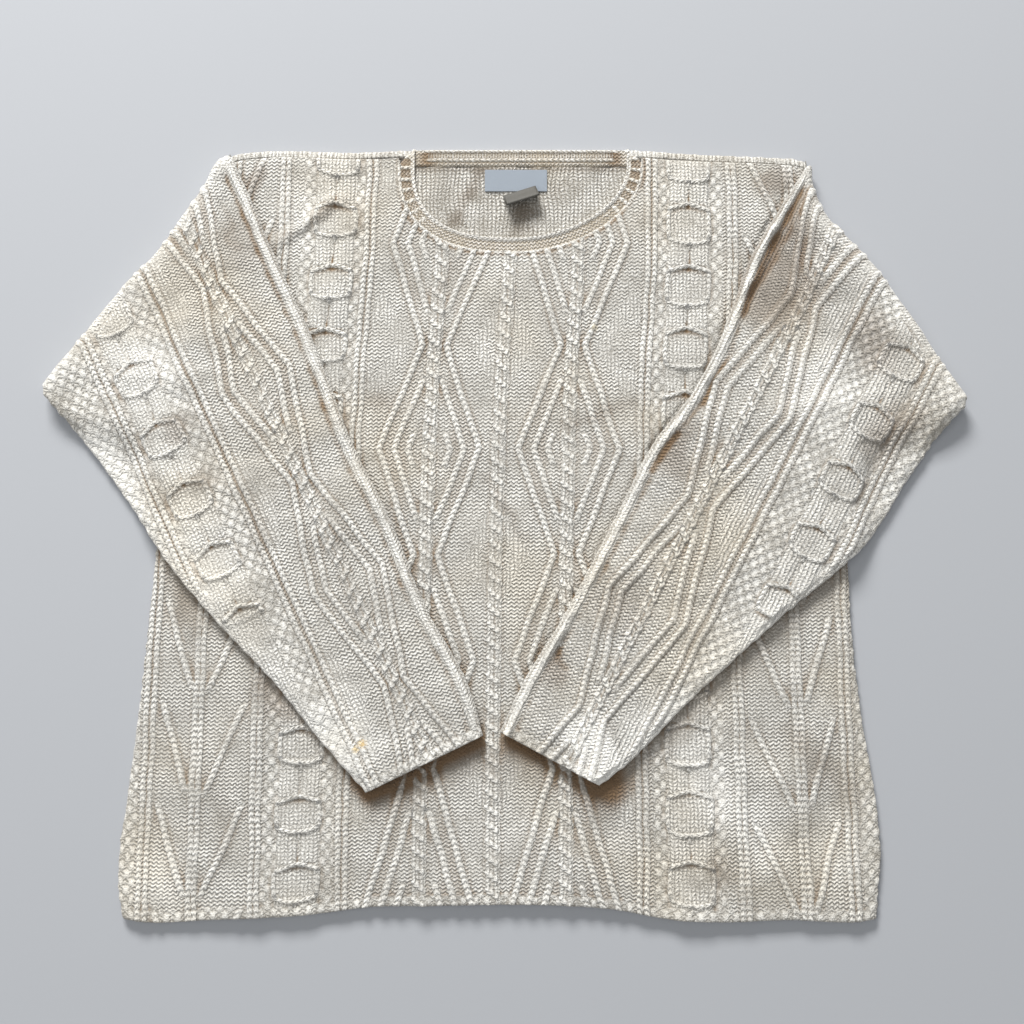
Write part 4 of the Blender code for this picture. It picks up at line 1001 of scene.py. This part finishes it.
# Painted shade in the hollows between the ribs, over the bar and at its folded corners; painted light on
# the ribs, the cords and the bar's top edge.
rib_hollow = np.clip(1 - np.maximum(band_chart["strand"], 0) * 1.6, 0, 1)
band_chart["shade"] = (between * round_face * (0.02 + 0.42 * at_sides * rib_hollow)
                       + 0.2 * in_bar * (band_across < BAND - 1.5)
                       + 0.85 * at_corner * (band_across < BAND - 2))
band_chart["tone"] = (round_face * (0.5 * between * (1 + at_sides) - 1.3 * (1 - between * rib_hollow))
                      - bar_face * (band_across > BAND - 2.8))
smooth_cloth = (band_chart["strand"] < 0) & (in_bar < 0.5)
band_chart["strand"] = np.where(smooth_cloth, -1.0, band_chart["strand"])
lifted = band_height + np.where(upper_side, 1, -1) * band_chart["height"]
neckband = grid_piece("neckband_rib", closed(band_place(band_length, band_across, lifted)))
band_wales = np.repeat(np.append(band_steps, band_total)[:, None] / BAND_WALE, len(section) + 1, 1)
dress(neckband, band_wales, closed(band_across) / COURSE,
      {key: closed(value) for key, value in band_chart.items()})
close_up(neckband)
neckband.data.materials.append(wool("neckband wool", BAND_LIGHT, BAND_DARK, stray=0.25))
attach(neckband, "root")
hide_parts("neckband")

# ---------------------------------------------------------------- woven label
# Plain satin ribbon sewn to the back panel's inner side below the neckband, with a soft edge all
# round. It is left bare.

LABEL_SIZE, LABEL_PLACE = (0.055, 0.020, 0.0008), (0.0095, 0.3006)        # metres
bpy.ops.object.select_all(action="DESELECT")
bpy.ops.mesh.primitive_cube_add(size=1.0, location=(0, 0, 0))
label = bpy.context.object
label.name = "woven_label"
label.scale = LABEL_SIZE
label.location = (*LABEL_PLACE, (WALL + GAP) * 0.001 + LABEL_SIZE[2] / 2)
bpy.ops.object.transform_apply(location=True, rotation=True, scale=True)
soft = label.modifiers.new("soft edges", "BEVEL")
soft.width, soft.segments = 0.0003, 2
bpy.ops.object.modifier_apply(modifier=soft.name)


def ribbon(name, colour, thread):
    """Woven ribbon: fine threads across it."""
    made, tree, shader = new_finish(name, 0.6)
    shader.inputs["Base Color"].default_value = colour
    weave = tree.nodes.new("ShaderNodeTexWave")
    weave.inputs["Scale"].default_value = thread
    tree.links.new(tree.nodes.new("ShaderNodeTexCoord").outputs["Object"], weave.inputs["Vector"])
    bump_step(weave.outputs["Fac"], 0.5, 0.0003)
    return made


label.data.materials.append(ribbon("label ribbon", (0.34, 0.385, 0.44, 1.0), 900.0))
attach(label, "root")
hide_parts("label")

# ---------------------------------------------------------------- size tag
# Short woven ribbon, sewn under the label and folded on itself with its lower half turned up. It
# is left bare.

TAG_FOLD = (
    # along the tag, up from its underside
    (0.0, 0.0), (-4.0, 1.4), (-8.5, 5.2), (-10.6, 7.6), (-11.1, 8.8), (-10.0, 9.3),
    (-7.4, 8.0), (-3.0, 4.6), (0.6, 2.8),
)
TAG_PLACE, TAG_TURN, TAG_HALF, TAG_ROWS = (12.5, 289.0), math.radians(18.0), 15, 13
TAG_Z = WALL + 2 * GAP + 0.8 + 0.25           # on the label, half its own thickness up
fold_steps = np.linspace(0, len(TAG_FOLD) - 1, 33)
along_tag, up_tag = (np.interp(fold_steps, np.arange(len(TAG_FOLD)), part) for part in np.array(TAG_FOLD).T)
across_tag, along_tag = np.meshgrid(np.linspace(-TAG_HALF, TAG_HALF, TAG_ROWS), along_tag, indexing="ij")
up_tag = np.repeat(up_tag[None], TAG_ROWS, 0) + TAG_Z
tag_x = TAG_PLACE[0] + across_tag * math.cos(TAG_TURN) - along_tag * math.sin(TAG_TURN)
tag_y = TAG_PLACE[1] + across_tag * math.sin(TAG_TURN) + along_tag * math.cos(TAG_TURN)
size_tag = grid_piece("folded_tag", np.stack([tag_x, tag_y, up_tag], -1))
thick = size_tag.modifiers.new("ribbon", "SOLIDIFY")
thick.thickness, thick.offset = 0.0005, 0.0
bpy.ops.object.modifier_apply(modifier=thick.name)
size_tag.data.materials.append(ribbon("tag ribbon", (0.085, 0.08, 0.068, 1.0), 260.0))
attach(size_tag, "root")
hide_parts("size_tag")

# ---------------------------------------------------------------- left sleeve
# A flat knitted tube: its root lies on the surface, it folds over on the line from shoulder to
# elbow, and its patterned side lies upwards across the front down to the cuff.

SLIT = 0.8                                    # between the two walls of the tube
TUBE = 2 * WALL + SLIT
FLAP_Z = 8.5                                  # underside of the folded part on the front
FAN = 145.0                                   # below the fold, where rows stop to be slanted by it
FOLD_B, FOLD_RISE = 67.7, {-1: -0.535, 1: -0.576}
FOLD_BOW = {                                  # s of a bow in the fold line, its depth and half width
    -1: ((75.0, 5.0, 38.0), (-4.0, -2.5, 22.0)),
    1: ((52.0, 10.0, 34.0), (6.0, -9.0, 12.0)),
}
ARMHOLE_GAP, BESIDE_BODY = 0.6, 0.6           # to the body's edge, and up off the surface beside it
ARM_ROPE = {-1: 52.0, 1: 64.0}
ARM_NARROW, ARM_WIDE = {-1: 8.5, 1: 12.0}, {-1: 31.0, 1: 35.0}
ARM_NARROW_B, ARM_DIAMOND = {-1: -25.0, 1: -45.0}, {-1: 187.0, 1: 197.0}
ARM_NEST = 11.0
ARM_RIBS, ARM_RIB_LINE = {-1: (99.0, 106.5, 168.0, 174.0), 1: (108.0, 116.0, 186.0, 192.0)}, 2.4
ARM_RING, ARM_RING_HALF, ARM_RING_TALL, ARM_RING_SAG = {-1: 143.0, 1: 161.0}, 16.0, 29.0, 4.0
ARM_RING_TOP, ARM_RING_PITCH = {-1: -57.5, 1: -38.5}, {-1: 57.5, 1: 58.2}
ARM_RING_END = -300.0                         # the ring cable stops here, plain knitting goes on
ARM_ROLL_AT, ARM_FURROW_AT = 5.0, 12.0        # from the inner edge
ARM_STEP, TOP_POINTS, UNDER_POINTS = 1.6, 132, 20         # between rows; points round the tube
ARM_FIRST_GUESS = 200.0                       # of a sleeve's width, before its edges are worked out
ARM_FOLDS = {
    -1: (
        # s0, b0, s1, b1, width, height
        (150, -60, 70, -115, 20, 1.6),
        (185, -150, 95, -205, 18, 1.3),
        (20, -215, 60, -300, 16, 1.2),
    ),
    1: (
        (6, 45, 20, -95, 9, 3.0),
        (21, -95, 13, -200, 9, 2.2),
        (10, -300, 8, -440, 8, 2.0),
        (170, -80, 80, -150, 20, 1.6),
        (150, -280, 60, -330, 18, 1.3),
    ),
}
ARM_HOLLOWS = {
    -1: (
        # s0, b0, s1, b1, width, depth
        (16, 40, 20, -10, 12, 0.8),
        (48, 20, 52, -10, 10, 0.8),
    ),
    1: (
        (24, 55, 22, -85, 16, 1.8),
        (20, -195, 15, -240, 12, 1.4),
        (16, -400, 30, -420, 10, 1.2),
        (40, 10, 60, -20, 14, 0.6),
    ),
}
# Broad patches of painted light and shade on each folded sleeve.
ARM_PAINTED_SHADING = {
    -1: (
        # s0, b0, s1, b1, width, strength of the painted shade, painted light where below 0
        (160, -25, 112, -110, 55, -1.2),
        (134, -112, 124, -142, 26, 0.8),
        (126, -164, 124, -192, 22, 0.6),
        (8, 30, 18, -34, 42, 0.7),
        (200, -90, 188, -184, 24, -1.2),
        (168, -186, 152, -282, 36, -1.4),
        (116, -385, 94, -452, 34, -1.7),
        (92, -190, 110, -268, 14, 0.5),
        (40, -250, 60, -330, 16, 0.4),
    ),
    1: (
        (36, 40, 16, -92, 50, 1.3),
        (74, -8, 44, -84, 38, 0.8),
        (112, -22, 150, -76, 40, 1.0),
        (196, -76, 168, -146, 36, 1.0),
        (92, -66, 122, -146, 50, -1.6),
        (17, -180, 32, -240, 24, 1.2),
        (11, -402, 28, -438, 22, 1.1),
        (170, -300, 144, -350, 30, -1.2),
        (90, -448, 64, -480, 44, -3.6),
        (134, -392, 94, -448, 22, -1.2),
        (40, -320, 46, -380, 42, 0.6),
        (60, -180, 40, -250, 12, 0.5),
    ),
}


def arm_chart(side, s, b, below_fold):
    """Chart of a sleeve at s out from its inner edge and b up."""
    chart = blank_chart(s.shape)
    s, b = s + 0.7 * unevenness(s, b, 45, 7), b + 0.7 * unevenness(s, b, 45, 8)
    rope = ARM_ROPE[side]
    away, steep = diamond(b, ARM_NARROW[side], ARM_WIDE[side], ARM_NARROW_B[side], ARM_DIAMOND[side])
    inner_a, inner_b, outer_a, outer_b = ARM_RIBS[side]
    lay_rope(chart, s - rope, b, ROPE_HALF - 0.6, RELIEF, 0.0)
    nested = RELIEF * 0.8 * ease((away - ARM_NEST - ROPE_HALF) / 5)
    lay_diamonds(chart, s - rope, b, away, steep, ((0.0, RELIEF * 0.9), (ARM_NEST, nested)))
    for rib in ARM_RIBS[side]:
        lay_strand(chart, s - rib, b / COURSE, ARM_RIB_LINE, np.full(s.shape, RELIEF * 0.7))
    off = s - ARM_RING[side]
    near = (abs(off) < ARM_RING_HALF + 6) & (b > ARM_RING_END) & (below_fold > 4)
    lay_rings(chart, near, off, b, np.full(s.shape, 0.6), ARM_RING_TOP[side] - ARM_RING_TALL,
              ARM_RING_PITCH[side], ARM_RING_HALF, ARM_RING_SAG, ARM_RING_TALL)
    add_area(chart, "knit", np.where(b < ARM_RING_END + 6, (ARM_RING_HALF + 4 - abs(off)) / 3, -1.0))
    ring_in, ring_out = ARM_RING[side] - ARM_RING_HALF - 1, ARM_RING[side] + ARM_RING_HALF + 1
    for start, end in ((inner_b + 3, ring_in), (ring_out, outer_a - 3), (outer_b + 3, np.inf)):
        add_area(chart, "seed", np.minimum(s - start, end - s) / 3)
    for k in range(-1, 3):
        nook = ARM_NARROW_B[side] - k * ARM_DIAMOND[side]
        lozenge = 1 - abs(s - inner_a + 6) / 15 - abs(b - nook) / 52
        add_area(chart, "knit", np.where(s < inner_b, lozenge, -1.0) * 6)
    if side > 0:
        add_area(chart, "knit", np.minimum((7.5 - abs(s - 22.0 - 0.02 * b)) / 2, (b + 190) / 8))
    hollow = folds(ARM_HOLLOWS[side], s, b)
    chart["ground"] = chart["ground"] - hollow
    chart["shade"] = chart["shade"] + 0.15 * hollow
    chart["tone"] = folds(ARM_PAINTED_SHADING[side], s, b)
    at_cuff = (CUFF_B[side] + EDGING - b) / 3
    add_area(chart, "seed", at_cuff)
    chart["ground"] += 0.5 * ease(at_cuff)
    return chart


def arm_sleeve(name, side):
    """Grid of one sleeve: rows from the armhole over the fold to the cuff, and back inside it."""
    radius = TUBE / 2
    fold_z = (FLAP_Z + TUBE) / 2
    mean = fold_z - radius
    rise, middle = FOLD_RISE[side], ARM_RING[side]
    slant = math.hypot(1.0, rise)
    fold_at_ring = FOLD_B + rise * middle
    cuff = CUFF_B[side]
    level = np.arange(fold_at_ring - 1.0, cuff + 2.5, -ARM_STEP)
    level = np.concatenate([level, [cuff + 1.6, cuff + 0.8, cuff + 0.3, cuff]])
    roots, bends = np.linspace(0, 1, 9), np.radians(np.arange(9, 179, 9))
    level = np.concatenate([np.full(len(roots) + len(bends), fold_at_ring), level])
    flap_rows = len(level) - len(roots) - len(bends)
    bend = np.concatenate([np.zeros(len(roots)), bends, np.full(flap_rows, math.pi)])
    share = np.concatenate([roots, np.ones(len(level) - len(roots))])
    narrowed = 0.9 * quarter(level - cuff, 1.6)
    slope = rise * (1 - ease((fold_at_ring - level) / FAN))
    low, high = np.zeros(len(level)), np.full(len(level), ARM_FIRST_GUESS)
    for _ in range(8):
        low = smooth(ARM_INNER[side], level + slope * (low - middle))
        high = smooth(ARM_OUTER[side], level + slope * (high - middle))
    low = low + 0.5 * unevenness(level * 0, level, EDGING_WAVE, 33 + side)
    high = high + 0.6 * unevenness(level * 0, level, EDGING_WAVE, 36 + side)

    def section(inner):
        """s, height off the middle, length round the tube, and whether it is the upper wall."""
        half = SLIT / 2 if inner else radius
        lows, highs = low[:, None] + radius, high[:, None] - radius
        if inner:
            lows, highs = lows + 1, highs - 1
        top, under = np.linspace(0.004, 0.996, TOP_POINTS), np.linspace(0.97, 0.03, UNDER_POINTS)
        arc = np.radians(np.linspace(76, -76, 9))
        s_top, s_under = lows + (highs - lows) * top, lows + (highs - lows) * under
        s = np.concatenate([s_top, highs + half * np.cos(arc), s_under, lows - half * np.cos(arc[::-1])], 1)
        h = np.concatenate([np.full(len(top), half), half * np.sin(arc), np.full(len(under), -half),
                            half * np.sin(arc[::-1])]) + 0 * lows
        u = np.concatenate([s_top, highs + radius * (math.pi / 2 - arc), 2 * highs + 3 * radius - s_under,
                            lows - radius * (math.pi / 2 - arc[::-1])], 1)
        upper = np.concatenate([np.ones(len(top)), np.zeros(len(arc) * 2 + len(under))])
        return s, h, u, np.repeat(upper[None], len(level), 0)

    def placed(s, h):
        """Points of the rows, at s and height h off the tube's middle."""
        b = level[:, None] + slope[:, None] * (s - middle)
        angle = bend[:, None] + 0 * s
        folding = (angle > 0) & (angle < math.pi)
        tucked = 5.0 * np.sin(angle) * ease((s - high[:, None] + 2 * radius) / (2 * radius))
        s = s - np.where(folding, tucked, 0.0)
        from_fold = np.where(angle < math.pi, 0.0, (FOLD_B + rise * s - b) / slant)
        pull = sum(by * bell(s - at, wide) for at, by, wide in FOLD_BOW[side])
        pull = pull * (1 - ease(from_fold / 80))
        out = np.where(folding, (mean + h) * np.sin(angle), 0.0)
        x, y = arm_plan(side, s + pull * rise / slant - out * rise / slant, b - pull / slant + out / slant)
        beyond = side * (x - side_x(side, np.minimum(y, SHOULDER_POINT[side][1])))
        elbow_x, elbow_y = arm_plan(side, smooth(ARM_OUTER[side], np.array(-45.0)), -45.0)
        pit_x, pit_y = side_x(side, np.array(ARMPIT_Y)), ARMPIT_Y
        above = side * ((elbow_x - pit_x) * (y - pit_y) - (elbow_y - pit_y) * (x - pit_x))
        above = above / math.hypot(elbow_x - pit_x, elbow_y - pit_y)
        # Beyond the body the folded part comes down to the root, or to the surface past the root.
        outside = BESIDE_BODY + (TUBE + GAP) * ease((above + 26) / 30)
        lying = outside + (FLAP_Z - outside) * ease((28 - beyond) / 28)
        lying = lying + (FLAP_Z - lying) * ease(1 - from_fold / 45)
        lift = folds(ARM_FOLDS[side], s, b) * ease(from_fold / 25)
        z = np.where(angle < math.pi, fold_z - (mean + h) * np.cos(angle), lying + lift + radius + h)
        t = (s - low[:, None]) / (high - low)[:, None]
        tip_x, tip_y = SHOULDER_POINT[side][0] + side * ARMHOLE_GAP, SHOULDER_POINT[side][1]
        start_x, start_y = tip_x + (pit_x + side * ARMHOLE_GAP - tip_x) * t, tip_y + (pit_y - tip_y) * t
        part = share[:, None]
        return np.stack([start_x + (x - start_x) * part, start_y + (y - start_y) * part, z], -1)

    s, h, around, upper = section(False)
    b = level[:, None] + slope[:, None] * (s - middle)
    below_fold = (FOLD_B + rise * s - b) / slant - (math.pi - bend[:, None]) * mean
    below_fold = below_fold - (1 - share[:, None]) * 120
    past = np.where(bend[:, None] < math.pi, below_fold, 0.0)
    chart = arm_chart(side, s, b - past, below_fold)
    clear = ease((high[:, None] - radius - s) / 4) * ease((s - low[:, None] - radius) / 4)
    clear = clear * upper * ease((bend[:, None] - 0.9) / 1.9)
    from_edge = s - low[:, None]
    flap = upper * (bend[:, None] > 3.1) * ease(below_fold / 12)
    rolled = 1.6 * bell(from_edge - ARM_ROLL_AT, 3.3) - 0.8 * bell(from_edge - ARM_FURROW_AT, 3.6)
    thickness = 0.85 + 0.3 * unevenness(s * 0, b, 60, 31) + 0.25 * unevenness(s * 0, b, 15, 32)
    rolled = rolled * thickness * flap
    cord = (1 - abs(from_edge - ARM_ROLL_AT) / 4.6) * (flap > 0.3)
    on_cord = np.clip(cord, 0, 1)
    # Painted light along the outer edge, on the fold and on the rolled edge's cord, and painted shade in
    # the furrow beside it.
    rim = 1.1 * bell(high[:, None] - s, 16) * ease((below_fold - 30) / 40)
    tone = chart["tone"] - rim - 0.8 * bell(below_fold, 9)
    chart["tone"] = tone * (1 - 0.8 * np.clip(2 * cord, 0, 1)) - on_cord
    chart["knit"] = np.maximum(chart["knit"], cord)
    chart["shade"] += 0.2 * bell(from_edge - ARM_FURROW_AT, 3.4) * flap - 0.15 * on_cord
    raised = (chart["height"] + chart["ground"]) * clear + rolled
    for key in ("height", "ground"):
        chart[key] = chart[key] * clear
    chart["ground"] = chart["ground"] + rolled
    chart["strand"] = np.where(clear > 0.02, chart["strand"], -1.0)
    raised = raised + cloth_waves(s, b, 70, (20 + side, 24 + side)) * clear - narrowed[:, None] * np.sign(h)
    outer = placed(s, h + raised)
    s_in, h_in, around_in, _ = section(True)
    inner = placed(s_in, h_in)
    kept = np.unique(np.concatenate([np.arange(0, len(level), 12), [len(level) - 1]]))[::-1]

    def joined(out_rows, in_rows):
        """Rows of the outer side, then some of the inner side on the way back."""
        return closed(np.concatenate([out_rows, in_rows[kept]]))

    made = grid_piece(name, joined(outer, inner))
    unseen = blank_chart(s.shape)
    chart = {key: joined(value, unseen[key]) for key, value in chart.items()}
    dress(made, joined(around, around_in) / WALE, joined(b - past, b - past) / COURSE, chart)
    close_up(made)
    made.data.materials.append(body_wool)
    return made


left_sleeve = arm_sleeve("left_sleeve", -1)
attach(left_sleeve, "root")
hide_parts("sleeve_left")

# ---------------------------------------------------------------- right sleeve
# The same tube on the other side, with creases of its own: a rolled inner edge and hollows by it.

right_sleeve = arm_sleeve("right_sleeve", 1)
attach(right_sleeve, "root")
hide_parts("sleeve_right")
